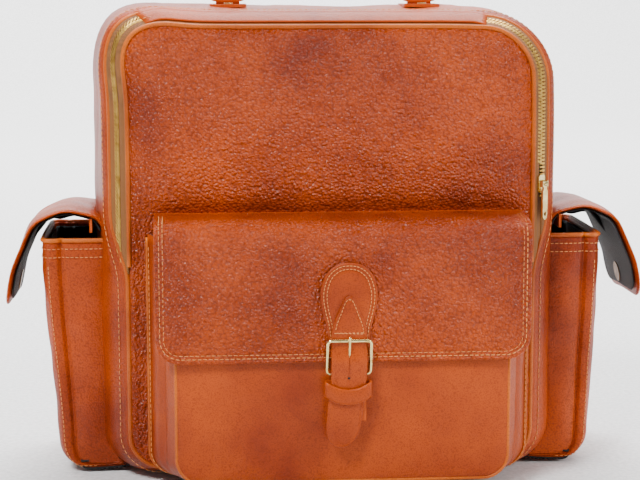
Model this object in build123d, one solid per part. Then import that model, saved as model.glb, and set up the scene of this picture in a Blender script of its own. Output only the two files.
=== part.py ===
from build123d import *

import os
from collections import namedtuple
from math import acos, asin, atan2, cos, degrees, hypot, radians, sin, tan

# A leather backpack: a gusseted body with a U-shaped zip, a flapped and buckled front pocket, two flapped side
# pockets, a rolled carrying handle and two shoulder straps.
#
# Frame: millimetres, +X to the right for someone who faces the front of the bag, +Y from the front to the back,
# +Z up. The origin is on the floor, in the middle of the base.

# ---- Driving dimensions -------------------------------------------------------------------------------------------

LEATHER = 2.4  # one thickness of the body's leather
LINING = 0.8  # lining cloth
GAP = 0.2  # clearance between pieces that only lie against each other
PLATE = 2.6  # thickness of the front and back panels
WELT, WELT_STANDS_OUT = 3.0, 1.5  # depth of the welt round the front edge of the gusset, and its height over it
BEAD, BEAD_OUT = 3.0, 1.0  # width of the piping round a panel, inside and outside the panel's edge
FOLD_GAP = 1.0  # from the front's fold line to the panel on each side of it
PAD_THICKNESS, PAD_INSET = 3.6, 9.0
DOOR_LINING_INSET = 8.0
LINING_INSET = LEATHER + 1.0
BOARD = 2.0  # thickness of the board over the base
MID_HEIGHT = 176.0  # where the top panel's wall meets the bottom panel's
HINGE_Z = 206.0  # height at which the zipped front folds forward

# The body's outline as seen from the front, at five depths. The base is cut flat at z = 0.
Section = namedtuple("Section", "y half_width top bottom top_radius bottom_radius")
PANEL_EDGE = Section(-76.0, 149.5, 339.0, 12.0, 36.0, 24.0)
GUSSET_EDGE = Section(-62.0, 161.0, 347.0, 5.0, 46.0, 30.0)
FRONT_BULGE = Section(-22.0, 177.0, 352.0, -0.1, 54.0, 34.0)
BACK_BULGE = Section(45.0, 178.0, 352.0, -0.1, 54.0, 34.0)
BACK_EDGE = Section(75.0, 170.0, 345.0, 4.0, 48.0, 30.0)

PANEL_SPLIT_X = 118.0  # where the side gussets meet the top and bottom panels

# Zip
TAPE = 1.2
CHAIN_HALF = 1.5  # half the thickness of the teeth
TAPE_SHARE = 0.26  # share of the zip band from each edge to the teeth
CHAIN_SHARE = 0.40  # share of the zip band from each edge to the gap between the chains
ZIP_DOOR_START_Z = 236.0  # the moving tape starts above the slider's closed place
ZIP_BODY_START_Z = 210.0
SLIDER_Z = 222.0
SLIDER_LENGTH, SLIDER_WIDTH, SLIDER_PLATE = 13.0, 9.5, 1.4
PULL_LENGTH, PULL_WIDTH, PULL_THICKNESS = 30.0, 7.0, 1.6

# Front pocket, which sits a little to the right of the middle, and its closure a little further
POCKET_X, CLOSURE_X = 5.0, 8.0
POCKET_BACK_Y = -78.8
POCKET_FRONT_Y = -118.0
POCKET_BACK_HALF, POCKET_FRONT_HALF = 141.0, 121.0
POCKET_TOP_Z, POCKET_BOTTOM_Z = 188.0, 8.0
POCKET_RADIUS = 18.0

# Front flap
FLAP_HALF = 136.0
FLAP_AXIS_Y, FLAP_AXIS_Z = -82.8, 201.5
FLAP_FRONT_Y = -124.4  # outer face of the hanging part
FLAP_LOW_Z = 100.0
FLAP_ROOT_Z = 203.5  # top of the strip that the flap is sewn to
ANCHOR = 1.8  # thickness of that strip
FLAP_LEATHER, FLAP_LINING = 2.2, 1.2
FLAP_CORNER = 18.0

# Buckled closure on the flap
STRAP_WIDTH, STRAP_THICKNESS = 26.0, 2.0
PATCH_WIDTH, PATCH_THICKNESS, PATCH_TOP_Z, PATCH_LOW_Z = 41.0, 3.0, 173.0, 112.0
CLOSURE_BAR_Z = 91.5
CLOSURE_TIP_Z = 38.0
BUCKLE_WIRE = 1.3  # radius of the buckle's wire
BUCKLE_WIDTH, BUCKLE_HEIGHT = 34.0, 29.0  # outside
SNAP_RADIUS = 8.0
FRONT_SNAP_Z = 72.0

# Side pockets
SIDE_OUT_X = 212.0
SIDE_FRONT_Y, SIDE_BACK_Y = -45.0, 60.0
SIDE_TOP_Z, SIDE_BOTTOM_Z = 183.0, 5.0
SIDE_FLAP_AXIS_X, SIDE_FLAP_AXIS_Z = 182.5, 197.0
SIDE_FLAP_LEATHER, SIDE_FLAP_LINING = 2.2, 1.2

# Handle
HANDLE_X = 74.0  # each ring's place
HANDLE_Y = 4.0
HANDLE_BAR_Z = 357.8
RING_WIDTH, RING_HEIGHT, RING_WIRE = 30.0, 18.0, 1.6
HANDLE_TOP_Z = 420.0
HANDLE_GRIP = 7.5

# Shoulder straps
SHOULDER_TOP = Vector(45.0, 84.5, 300.0)  # middle of the upper ring's outer bar
SHOULDER_LOW = Vector(128.0, 84.5, 34.0)  # middle of the lower ring's outer bar
SHOULDER_WIDTH, SHOULDER_THICKNESS = 46.0, 9.0
TAB_LOOP, TAB_WALL = 4.5, 1.4  # inside radius of a shoulder tab's loop, and its thickness
TAB_WIDTH, TAB_THICKNESS = 22.0, 2.2
RIVET_RADIUS, RIVET_HEIGHT = 3.2, 1.2

os.makedirs("parts", exist_ok=True)


# ---- Shapes that several pieces share ----------------------------------------------------------------------------


def between(a, b, share):
    """The outline a share of the way from section a to section b."""
    return Section(*(x + (y - x) * share for x, y in zip(a, b)))


def face_of(section, grow=0.0):
    """The outline of the body at one depth, grown on every side, as an upright face."""
    s = section
    width, height = 2 * (s.half_width + grow), s.top - s.bottom + 2 * grow
    flat = Rectangle(width, height)
    flat = fillet(flat.vertices().sort_by(Axis.Y)[-2:], s.top_radius + grow)
    flat = fillet(flat.vertices().sort_by(Axis.Y)[:2], s.bottom_radius + grow)
    return (Plane.XZ.offset(-s.y) * Pos(0, (s.top + s.bottom) / 2) * flat).face()


def envelope(sections, grow=0.0):
    """The solid that fills the outlines."""
    return loft([face_of(s, grow) for s in sections], ruled=True)


def tube_wall(sections, out, inside):
    """A wall round the body, from out to inside millimetres of growth."""
    return envelope(sections, out) - envelope(sections, inside)


def region(x=(-400, 400), y=(-400, 400), z=(-50, 600)):
    """A box between limits, to cut with."""
    sizes = [b - a for a, b in (x, y, z)]
    middles = [(a + b) / 2 for a, b in (x, y, z)]
    return Pos(*middles) * Box(*sizes)


def upright(flat, y0, y1):
    """A front-view sketch (X across, Z up) made solid from depth y0 to y1."""
    return Pos(0, y1, 0) * extrude(Plane.XZ * flat, amount=y1 - y0)


def across(flat, width, x=0.0):
    """A side-view sketch (Y across, Z up) made solid over a width in X, about x."""
    return Pos(x, 0, 0) * extrude(Plane.YZ * flat, amount=width / 2, both=True)


def beside(points, radii, by):
    """A bent line that runs at a distance to the left of another, as its points and radii."""
    line = [Vector(*p) for p in points]
    runs = [b - a for a, b in zip(line, line[1:])]
    sides = [Vector(-r.Y, r.X).normalized() for r in runs]
    moved = []
    for i, point in enumerate(line):
        before, after = sides[max(i - 1, 0)], sides[min(i, len(sides) - 1)]
        middle = (before + after).normalized()
        moved.append(point + middle * (by / middle.dot(before)))
    lefts = [a.X * b.Y - a.Y * b.X > 0 for a, b in zip(runs, runs[1:])]
    return moved, [r - by if left else r + by for r, left in zip(radii, lefts)]


def bent_line(points, radii):
    """Straight runs joined by tangent arcs."""
    if len(points) == 2:
        return Line(*points)
    path = []
    start = points[0]
    for i, radius in enumerate(radii):
        corner, after = points[i + 1], points[i + 2]
        into, out = (corner - points[i]).normalized(), (after - corner).normalized()
        reach = radius * tan(acos(max(-1.0, min(1.0, into.dot(out)))) / 2)
        first, last = corner - into * reach, corner + out * reach
        path.append(Line(start, first))
        path.append(TangentArc(first, last, tangent=into))
        start = last
    path.append(Line(start, points[-1]))
    return path


def strip(points, radii, near, far):
    """A flat band beside a bent line, between two distances to its left."""
    inner, inner_radii = beside(points, radii, near)
    outer, outer_radii = beside(points, radii, far)
    edges = [bent_line(inner, inner_radii), Line(inner[-1], outer[-1])]
    edges += [bent_line(outer, outer_radii), Line(inner[0], outer[0])]
    flat = []
    for item in edges:
        flat += item if isinstance(item, list) else [item]
    return make_face(flat)


def wire_ring(width, height, corner, radius):
    """A rounded rectangle of round wire in the XZ plane, centred on the origin. Sizes are outside."""
    w, h = width / 2 - radius, height / 2 - radius
    path = Plane.XZ * RectangleRounded(2 * w, 2 * h, corner)
    loop = path.face().outer_wire()
    start = loop @ 0
    section = Plane(origin=start, z_dir=loop % 0) * Circle(radius)
    return sweep(section, loop)


def pipe_x(radius, length, y, z, x=0.0):
    """A round bar along X."""
    return Pos(x, y, z) * Rot(0, 90, 0) * Cylinder(radius, length)


def disc_y(radius, y0, y1, x, z):
    """A disc that faces along Y."""
    return Pos(x, (y0 + y1) / 2, z) * Rot(90, 0, 0) * Cylinder(radius, y1 - y0)


def disc_x(radius, x0, x1, y, z):
    """A disc that faces along X."""
    return Pos((x0 + x1) / 2, y, z) * Rot(0, 90, 0) * Cylinder(radius, x1 - x0)


def mirrored(shape):
    """The same piece for the other side."""
    return mirror(shape, about=Plane.YZ)


def keep(name, *solids):
    """Writes a node, from one or more separate solids."""
    found = [s for shape in solids for s in shape.solids()]
    export_step(found[0] if len(found) == 1 else Compound(found), f"parts/{name}.step")


def keep_pair(name, *solids):
    """Writes a node for the right side as it stands, and its mirror image for the left."""
    keep(name + "_right", *solids)
    keep(name + "_left", *(mirrored(s) for s in solids))


# ---- Body -------------------------------------------------------------------------------------------------------

WELT_SHARE = WELT / (FRONT_BULGE.y - GUSSET_EDGE.y)
WELT_BACK = between(GUSSET_EDGE, FRONT_BULGE, WELT_SHARE)
BODY_SECTIONS = [WELT_BACK, FRONT_BULGE, BACK_BULGE, BACK_EDGE]
FRONT_SECTIONS = [PANEL_EDGE, GUSSET_EDGE]


def body_shell():
    """Gussets, top and bottom of the body: one wall round it, in the pieces that it is cut from."""
    wall = tube_wall(BODY_SECTIONS, 0, -LEATHER) & region(z=(0, 600))
    keep_pair("side_gusset", wall & region(x=(PANEL_SPLIT_X, 400)))
    middle = wall & region(x=(-PANEL_SPLIT_X, PANEL_SPLIT_X))
    keep("top_panel", middle & region(z=(MID_HEIGHT, 600)))
    keep("bottom_panel", middle & region(z=(-50, MID_HEIGHT)))
    keep("front_welt", tube_wall([GUSSET_EDGE, WELT_BACK], WELT_STANDS_OUT, -LEATHER))


def back_of_body():
    """The back panel with its binding, and the foam pad behind the lining."""
    keep("back_panel", extrude(face_of(BACK_EDGE, -BEAD - GAP), amount=-PLATE))
    rim = face_of(BACK_EDGE, BEAD_OUT) - face_of(BACK_EDGE, -BEAD)
    keep("back_binding", extrude(rim, amount=-WELT))
    keep("back_pad", Pos(0, -GAP, 0) * extrude(face_of(BACK_EDGE, -PAD_INSET), amount=PAD_THICKNESS))


def front_of_body():
    """The fixed lower front, and the zipped upper front that folds forward about HINGE_Z."""
    lower = region(z=(-50, HINGE_Z - FOLD_GAP))
    border = tube_wall(FRONT_SECTIONS, 0, -LEATHER)
    plate = extrude(face_of(PANEL_EDGE), amount=PLATE)
    keep("front_panel_lower", (border + plate) & lower)

    upper = region(z=(HINGE_Z + FOLD_GAP, 600))
    keep("front_panel_upper", extrude(face_of(PANEL_EDGE, -BEAD - GAP), amount=PLATE) & upper)
    bead = extrude(face_of(PANEL_EDGE, BEAD_OUT) - face_of(PANEL_EDGE, -BEAD), amount=WELT)
    keep("front_piping", bead & region(z=(ZIP_DOOR_START_Z, 600)))
    inside = extrude(face_of(PANEL_EDGE, -DOOR_LINING_INSET), amount=-LINING)
    keep("front_lining_upper", Pos(0, GAP, 0) * inside & upper)


def linings():
    """The cloth bag inside the body, open at the zipped front, and the board that stiffens its base."""
    depth = [PANEL_EDGE, *BODY_SECTIONS]
    shift = [3.0, 0, 0, 0, -PAD_THICKNESS - 1.0]
    outer = [s._replace(y=s.y + move) for s, move in zip(depth, shift)]
    inner = [s._replace(y=s.y + step) for s, step in zip(outer, [LINING, 0, 0, 0, -LINING])]
    bag = envelope(outer, -LINING_INSET) - envelope(inner, -LINING_INSET - LINING)
    mouth = region(y=(-90, WELT_BACK.y + 4), z=(HINGE_Z - 4, 600))
    keep("main_lining", bag - mouth)
    near = -LINING_INSET - LINING - GAP
    board = tube_wall(BODY_SECTIONS, near, near - BOARD)
    keep("base_board", board & region(x=(-125, 125), y=(-54, BACK_BULGE.y - 1), z=(-50, 40)))


# ---- Zip --------------------------------------------------------------------------------------------------------


def zip_band(start, end, out, inside, low_z):
    """A strip of the zip between two shares of the way from the front panel to the gusset, above low_z."""
    sections = [between(PANEL_EDGE, GUSSET_EDGE, share) for share in (start, end)]
    return tube_wall(sections, out, inside) & region(z=(low_z, 600))


def zip_chain():
    """Both tapes, both rows of teeth and the end stops."""
    half = TAPE / 2
    door, body = ZIP_DOOR_START_Z, ZIP_BODY_START_Z
    keep("zip_tape_front", zip_band(0.03, TAPE_SHARE, half, -half, door))
    keep("zip_teeth_front", zip_band(TAPE_SHARE, CHAIN_SHARE, CHAIN_HALF, -CHAIN_HALF, door))
    keep("zip_teeth_body", zip_band(1 - CHAIN_SHARE, 1 - TAPE_SHARE, CHAIN_HALF, -CHAIN_HALF, body + 4))
    keep("zip_tape_body", zip_band(1 - TAPE_SHARE, 1.0, half, -half, body))
    stop = zip_band(1 - CHAIN_SHARE, 1 - TAPE_SHARE, 1.6, -1.6, body) & region(z=(body, body + 3.6))
    keep("zip_stops", stop)


ZIP_RUN = Vector(GUSSET_EDGE.half_width - PANEL_EDGE.half_width, GUSSET_EDGE.y - PANEL_EDGE.y).normalized()
ZIP_OUT = Vector(ZIP_RUN.Y, -ZIP_RUN.X)
ZIP_MIDDLE = between(PANEL_EDGE, GUSSET_EDGE, 0.5)
# Local frame of the slider: X across the zip, Y up it, Z out of it.
SLIDER_FRAME = Plane(
    origin=(ZIP_MIDDLE.half_width, ZIP_MIDDLE.y, SLIDER_Z), x_dir=(ZIP_RUN.X, ZIP_RUN.Y, 0), z_dir=(ZIP_OUT.X, ZIP_OUT.Y, 0)
)
PULL_AXIS_OUT = 5.6  # height of the pull's axis above the middle of the teeth
CHANNEL = CHAIN_HALF + 0.35


def slider():
    """The slider: two plates and the post between them, with the bail that holds the pull."""
    outline = RectangleRounded(SLIDER_WIDTH, SLIDER_LENGTH, 2.5)
    plate = extrude(outline, amount=SLIDER_PLATE)
    post = Box(1.1, 2.2, 2 * CHANNEL + 0.4)
    body = Pos(0, 0, CHANNEL) * plate + Pos(0, 0, -CHANNEL - SLIDER_PLATE) * plate
    body += Pos(0, -SLIDER_LENGTH / 2 + 1.4, 0) * post
    lug = CHANNEL + SLIDER_PLATE
    cheek = Pos(0, 0, (PULL_AXIS_OUT + 1.0 + lug) / 2 - 0.2) * Box(1.2, 4.4, PULL_AXIS_OUT + 1.4 - lug)
    body += Pos(-3.2, 0, 0) * cheek + Pos(3.2, 0, 0) * cheek
    pin = Pos(0, 0, PULL_AXIS_OUT) * Rot(0, 90, 0) * Cylinder(0.55, 6.6)
    keep("zip_slider", SLIDER_FRAME * (body + pin))


def pull():
    """The pull: a flat tag that hangs from the slider's pin, with a hole at each end."""
    end = PULL_WIDTH / 2
    tag = Pos(0, -PULL_LENGTH / 2 + end - 0.5) * SlotOverall(PULL_LENGTH, PULL_WIDTH, rotation=90)
    tag -= Pos(0, -PULL_LENGTH + PULL_WIDTH + 0.4) * Circle(1.6)
    neck = Pos(0, -2.2) * Rectangle(5.0, 7.6)
    tag = tag & (neck + Pos(0, -20 - 5) * Rectangle(20, 40))
    solid = Pos(0, 0, PULL_AXIS_OUT - PULL_THICKNESS / 2) * extrude(tag, amount=PULL_THICKNESS)
    hub = Pos(0, 0, PULL_AXIS_OUT) * Rot(0, 90, 0) * Cylinder(1.6, 4.8)
    bore = Pos(0, 0, PULL_AXIS_OUT) * Rot(0, 90, 0) * Cylinder(0.75, 9)
    keep("zip_pull", SLIDER_FRAME * (solid + hub - bore))


# ---- Front pocket and its flap -----------------------------------------------------------------------------------


def pocket_block(grow, y_front_move=0.0, top=POCKET_TOP_Z):
    """The pocket's outer form, narrower at the front, grown on its sides and bottom."""
    faces = []
    for y, half, low in ((POCKET_BACK_Y, POCKET_BACK_HALF, 0.0), (POCKET_FRONT_Y + y_front_move, POCKET_FRONT_HALF, 2.0)):
        bottom = POCKET_BOTTOM_Z + low - grow
        flat = Rectangle(2 * (half + grow), top - bottom)
        flat = fillet(flat.vertices().sort_by(Axis.Y)[:2], POCKET_RADIUS + grow)
        faces.append((Plane.XZ.offset(-y) * Pos(POCKET_X, (top + bottom) / 2) * flat).face())
    return loft(faces, ruled=True)


def front_pocket():
    """Gusset and front of the front pocket. Returns its lining, its flap's anchor and the fixed half of its snap."""
    shell = pocket_block(0) - pocket_block(-LEATHER, LEATHER, POCKET_TOP_Z + 20)
    split = POCKET_FRONT_Y + LEATHER
    keep("front_pocket_panel", shell & region(y=(-300, split)))
    keep("front_pocket_gusset", shell & region(y=(split, 0)))
    cloth = pocket_block(-LEATHER - GAP, LEATHER + GAP, POCKET_TOP_Z - 4)
    cloth -= pocket_block(-LEATHER - GAP - LINING, LEATHER + GAP + LINING, POCKET_TOP_Z + 20)
    ends = (POCKET_X - FLAP_HALF, POCKET_X + FLAP_HALF)
    anchor = region(x=ends, y=(POCKET_BACK_Y - ANCHOR, POCKET_BACK_Y), z=(POCKET_TOP_Z + 2, FLAP_ROOT_Z))
    snap = disc_y(SNAP_RADIUS, POCKET_FRONT_Y - 1.2, POCKET_FRONT_Y, CLOSURE_X, FRONT_SNAP_Z)
    return cloth, anchor, snap


def flap_layer(depth, thickness):
    """One layer of the flap, depth under its outer face: out over the pocket, then down its front."""
    points = [(FLAP_AXIS_Y - 0.2, FLAP_ROOT_Z - 0.1), (FLAP_FRONT_Y + 1.6, FLAP_ROOT_Z - 2.9), (FLAP_FRONT_Y, FLAP_LOW_Z)]
    layer = across(strip(points, [14.0], depth, depth + thickness), 2 * FLAP_HALF)
    height = 400.0
    plan = Pos(0, FLAP_LOW_Z + height / 2) * Rectangle(2 * FLAP_HALF, height)
    plan = fillet(plan.vertices().sort_by(Axis.Y)[:2], FLAP_CORNER)
    return Pos(POCKET_X, 0, 0) * (layer & upright(plan, -200, 0))


def front_flap():
    """The flap's leather and lining."""
    keep("flap_leather", flap_layer(0, FLAP_LEATHER))
    keep("flap_lining", flap_layer(FLAP_LEATHER + 0.05, FLAP_LINING))


# ---- Buckles ----------------------------------------------------------------------------------------------------
# A buckle's own frame: its heel bar lies along X through the origin, the strap comes down from +Z, and out is -Y.

CHAPE = 1.4  # thickness of the leather that holds the heel bar
CHAPE_LOOP = BUCKLE_WIRE + 0.1
STRAP_BACK_Y = -(CHAPE_LOOP + CHAPE + 0.1)
STRAP_FACE_Y = STRAP_BACK_Y - STRAP_THICKNESS
FRONT_BAR_Y = STRAP_FACE_Y - 0.3 - BUCKLE_WIRE
BAR_SPAN = BUCKLE_HEIGHT - 2 * BUCKLE_WIRE  # between the two bars' centres, along the tilted frame
BUCKLE_TILT = degrees(asin(-FRONT_BAR_Y / BAR_SPAN))
FRONT_BAR_Z = BAR_SPAN * cos(radians(BUCKLE_TILT))
PRONG = 1.0  # radius of the prong
PRONG_OUT = FRONT_BAR_Y - BUCKLE_WIRE - PRONG - 0.15  # where the prong passes over the front bar
HOLE_LOW, HOLE_HIGH = 2.0, 18.0


def buckle_frame():
    """The wire frame, tilted so that one bar is in front of the strap and the other behind it."""
    ring = wire_ring(BUCKLE_WIDTH, BUCKLE_HEIGHT, 3.0, BUCKLE_WIRE)
    return Rot(BUCKLE_TILT, 0, 0) * Pos(0, 0, BAR_SPAN / 2) * ring


def buckle_prong():
    """The prong: a ring round the heel bar and a rod through the strap's hole to the front bar."""
    length = hypot(PRONG_OUT, FRONT_BAR_Z) + 2.0
    tilt = degrees(atan2(-PRONG_OUT, FRONT_BAR_Z))
    rod = Rot(tilt, 0, 0) * Pos(0, 0, length / 2 + 1.5) * Cylinder(PRONG, length - 1.5)
    hub = pipe_x(BUCKLE_WIRE + 1.2, 3.0, 0, 0) - pipe_x(BUCKLE_WIRE + 0.05, 9, 0, 0)
    tip = Rot(tilt, 0, 0) * Pos(0, 0, length + 0.75) * Sphere(PRONG)
    return hub + rod + tip - pipe_x(BUCKLE_WIRE + 0.05, 9, 0, 0)


def buckle_chape(front_leg, back_leg, width):
    """The leather loop round the heel bar, with a slot for the prong. Its legs hang down to -Z."""
    tube = pipe_x(CHAPE_LOOP + CHAPE, width, 0, 0) - pipe_x(CHAPE_LOOP, width + 2, 0, 0)
    tube = tube & region(z=(0, 50))
    far = CHAPE_LOOP + CHAPE
    half = width / 2
    legs = region(x=(-half, half), y=(-far, -CHAPE_LOOP), z=(-front_leg, 0))
    legs += region(x=(-half, half), y=(CHAPE_LOOP, far), z=(-back_leg, 0))
    slot = region(x=(-2.2, 2.2), y=(-far - 1, far + 1), z=(-4.0, 20))
    return tube + legs - slot


def keeper_loop(low, high, width):
    """The loop that holds the strap's end against the chape's front leg."""
    wall = 1.4
    half = width / 2 + 1.2
    y_front, y_back = STRAP_FACE_Y - 0.3, -CHAPE_LOOP + 0.1
    inside = region(x=(-half, half), y=(y_front, y_back), z=(low - 5, high + 5))
    outside = region(x=(-half - wall, half + wall), y=(y_front - wall, y_back + wall), z=(low, high))
    return outside - inside


def strap_end(flat_top, tip, width, spare_holes):
    """The strap through a buckle, from flat_top above the heel bar down to its rounded tip, with its holes."""
    body = Pos(0, (flat_top - tip) / 2) * Rectangle(width, flat_top + tip)
    body = fillet(body.vertices().sort_by(Axis.Y)[:2], width / 2 - 0.5)
    body -= Pos(0, (HOLE_LOW + HOLE_HIGH) / 2) * SlotOverall(HOLE_HIGH - HOLE_LOW, 3.4, rotation=90)
    for height in spare_holes:
        body -= Pos(0, height) * Circle(1.7)
    return body


CLOSURE_AT = Pos(CLOSURE_X, FLAP_FRONT_Y - 0.1 - PATCH_THICKNESS - 0.1 - STRAP_BACK_Y, CLOSURE_BAR_Z)


def closure():
    """Patch, strap, buckle, chape and keeper that close the front flap over its snap."""
    y = FLAP_FRONT_Y - 0.1
    patch = Pos(0, (PATCH_TOP_Z + PATCH_LOW_Z) / 2) * Rectangle(PATCH_WIDTH, PATCH_TOP_Z - PATCH_LOW_Z)
    patch = fillet(patch.vertices().sort_by(Axis.Y)[-2:], PATCH_WIDTH / 2 - 0.5)
    patch = chamfer(patch.vertices().sort_by(Axis.Y)[:2], 12, 5)
    keep("closure_patch", Pos(CLOSURE_X, 0, 0) * upright(patch, y - PATCH_THICKNESS, y))

    top = PATCH_TOP_Z - 22 - CLOSURE_BAR_Z
    flat = strap_end(top, CLOSURE_BAR_Z - CLOSURE_TIP_Z, STRAP_WIDTH, [-8.0])
    corner = Polygon((0.5, top), (15, top), (15, top - 14.5), align=None)
    flat -= corner + mirror(corner, about=Plane.YZ)
    keep("closure_strap", CLOSURE_AT * upright(flat, STRAP_FACE_Y, STRAP_BACK_Y))
    keep("buckle_frame", CLOSURE_AT * buckle_frame())
    keep("buckle_prong", CLOSURE_AT * buckle_prong())
    keep("closure_chape", CLOSURE_AT * buckle_chape(34, 32, STRAP_WIDTH - 1))
    keep("strap_keeper", CLOSURE_AT * keeper_loop(-17, -8, STRAP_WIDTH))
    cap_front = CLOSURE_AT.position.Y + CHAPE_LOOP + CHAPE
    keep("front_snap_cap", disc_y(SNAP_RADIUS, cap_front, cap_front + 1.8, CLOSURE_X, FRONT_SNAP_Z))


# ---- Side pockets and their flaps --------------------------------------------------------------------------------


def side_block(inset, top):
    """The side pocket's outer form, drawn in by inset, up to top."""
    low, out = SIDE_BOTTOM_Z + inset, SIDE_OUT_X - inset
    flat = Pos((120 + out) / 2, (low + top) / 2) * Rectangle(out - 120, top - low)
    corner = flat.vertices().sort_by(Axis.Y)[:2].sort_by(Axis.X)[-1]
    flat = fillet(corner, 16 - inset)
    block = upright(flat, SIDE_FRONT_Y + inset, SIDE_BACK_Y - inset)
    edges = block.edges().filter_by(Axis.Z).sort_by(Axis.X)[-2:]
    return fillet(edges, 7 - inset) if inset < 6 else block


def side_pockets():
    """Gusset and outer face of each side pocket. Returns a lining, a flap's anchor and the fixed half of a snap."""
    sections = [GUSSET_EDGE, FRONT_BULGE, BACK_BULGE, BACK_EDGE]
    inside_body = envelope(sections, GAP)
    shell = side_block(0, SIDE_TOP_Z) - side_block(LEATHER, SIDE_TOP_Z + 20) - inside_body
    split = SIDE_OUT_X - LEATHER
    keep_pair("side_pocket_face", shell & region(x=(split, 400)))
    keep_pair("side_pocket_gusset", shell & region(x=(0, split)))
    near = LEATHER + GAP
    cloth = side_block(near, SIDE_TOP_Z - 3) - side_block(near + LINING, SIDE_TOP_Z + 20) - inside_body
    middle = (SIDE_FRONT_Y + SIDE_BACK_Y) / 2
    snap = disc_x(SNAP_RADIUS, SIDE_OUT_X, SIDE_OUT_X + 1.0, middle, 136)
    high, low = SIDE_FLAP_AXIS_Z - 2.5, SIDE_TOP_Z + 1
    anchor = region(x=(178.4, 180.4), y=(SIDE_FRONT_Y + 6, SIDE_BACK_Y - 6), z=(low, high))
    return cloth, anchor, snap


def side_flap_layer(depth, thickness):
    """One layer of a side flap, depth under its outer face: out from the body, then down past the pocket."""
    layer = extrude(Plane.XZ * strip(SIDE_FLAP_LINE, SIDE_FLAP_BENDS, -depth, -depth - thickness), amount=200, both=True)
    middle = (SIDE_FRONT_Y + SIDE_BACK_Y) / 2
    low = SIDE_FLAP_AXIS_Z - 68.0
    plan = Pos(middle, low + 50) * Rectangle(SIDE_BACK_Y - SIDE_FRONT_Y - 4, 100)
    plan = fillet(plan.vertices().sort_by(Axis.Y)[:2], 20)
    return layer & extrude(Plane.YZ * plan, amount=400)


SIDE_FLAP_LINE = [
    (SIDE_FLAP_AXIS_X, SIDE_FLAP_AXIS_Z + 1.7),
    (SIDE_FLAP_AXIS_X + 16, SIDE_FLAP_AXIS_Z + 6.0),
    (SIDE_FLAP_AXIS_X + 40, SIDE_FLAP_AXIS_Z - 5.0),
    (SIDE_FLAP_AXIS_X + 56, SIDE_FLAP_AXIS_Z - 40),
    (SIDE_FLAP_AXIS_X + 62, SIDE_FLAP_AXIS_Z - 70),
]
SIDE_FLAP_BENDS = [24.0, 22.0, 50.0]


def side_flaps():
    """Leather, lining and snap cap of each side flap."""
    keep_pair("side_flap", side_flap_layer(0, SIDE_FLAP_LEATHER))
    keep_pair("side_flap_lining", side_flap_layer(SIDE_FLAP_LEATHER + 0.05, SIDE_FLAP_LINING))
    # The cap lies on the lining, on the flap's last straight run, and faces the pocket.
    bend, tip = Vector(*SIDE_FLAP_LINE[-2]), Vector(*SIDE_FLAP_LINE[-1])
    run = (tip - bend).normalized()
    inward = Vector(run.Y, -run.X)
    start = bend + run * 15 + inward * (SIDE_FLAP_LEATHER + SIDE_FLAP_LINING + 0.15)
    frame = Plane(origin=(start.X, (SIDE_FRONT_Y + SIDE_BACK_Y) / 2, start.Y), z_dir=(inward.X, 0, inward.Y))
    keep_pair("side_snap_cap", frame * Pos(0, 0, 0.8) * Cylinder(SNAP_RADIUS, 1.6))


# ---- Handle -----------------------------------------------------------------------------------------------------


def handle():
    """Rings and the rolled grip between them. Returns the tabs that hold the rings, and the tabs' rivets."""
    top = BACK_BULGE.top + GAP
    tab = region(x=(HANDLE_X - 14, HANDLE_X + 14), y=(HANDLE_Y - 26, HANDLE_Y + 26), z=(top, top + TAB_THICKNESS))
    tab = fillet(tab.edges().filter_by(Axis.Z), 9)
    tab += pipe_x(4.0, 18, HANDLE_Y, HANDLE_BAR_Z, HANDLE_X)
    tab -= pipe_x(2.0, 30, HANDLE_Y, HANDLE_BAR_Z, HANDLE_X)
    rivet = Cylinder(RIVET_RADIUS, RIVET_HEIGHT)
    rivet_z = top + TAB_THICKNESS + RIVET_HEIGHT / 2
    rivets = [Pos(HANDLE_X, HANDLE_Y + y, rivet_z) * rivet for y in (-17, 17)]

    ring_z = HANDLE_BAR_Z + RING_HEIGHT / 2 - RING_WIRE
    ring = Pos(HANDLE_X, HANDLE_Y, ring_z) * wire_ring(RING_WIDTH, RING_HEIGHT, 4.0, RING_WIRE)
    keep("handle_rings", ring, mirrored(ring))

    high = HANDLE_BAR_Z + RING_HEIGHT - 2 * RING_WIRE
    points = [
        Vector(-HANDLE_X, HANDLE_Y, high + 5),
        Vector(-HANDLE_X + 8, HANDLE_Y, HANDLE_TOP_Z - HANDLE_GRIP),
        Vector(HANDLE_X - 8, HANDLE_Y, HANDLE_TOP_Z - HANDLE_GRIP),
        Vector(HANDLE_X, HANDLE_Y, high + 5),
    ]
    path = Wire(bent_line(points, [26, 26]))
    grip = sweep(Plane(origin=path @ 0, z_dir=path % 0) * Circle(HANDLE_GRIP), path)
    for x in (-HANDLE_X, HANDLE_X):
        loop = pipe_x(4.4, 16, HANDLE_Y, high, x)
        grip -= Pos(x, HANDLE_Y, high) * Box(40, 40, 6.0) - loop
        grip += loop
        grip -= pipe_x(2.0, 40, HANDLE_Y, high, x)
    keep("handle_grip", grip)
    return tab, rivets


# ---- Shoulder straps ---------------------------------------------------------------------------------------------

DOWN = (SHOULDER_LOW - SHOULDER_TOP).normalized()
SPAN = (SHOULDER_LOW - SHOULDER_TOP).length
# Local frame of a shoulder strap: X across it, Y away from the bag, Z up it. The origin is the upper ring's outer bar.
STRAP_FRAME = Plane(origin=SHOULDER_TOP, x_dir=(-DOWN.Z, 0, DOWN.X), z_dir=-DOWN)
LINK = 13.0  # between the two bars of a ring
RING_SPAN = 36.0
STRAP_LEAN = 13.8  # angle in degrees between the lower strap and the back
HEEL_FROM_RING = 60.0  # from the lower ring to the buckle's heel bar
LOOP_OUTER, LOOP_INNER = 4.0, 2.0  # radii of the loops that hold the rings' inner bars
PAD_LENGTH_ABOVE_HEEL = 112.0  # from the heel bar up to the pad's bend

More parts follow.
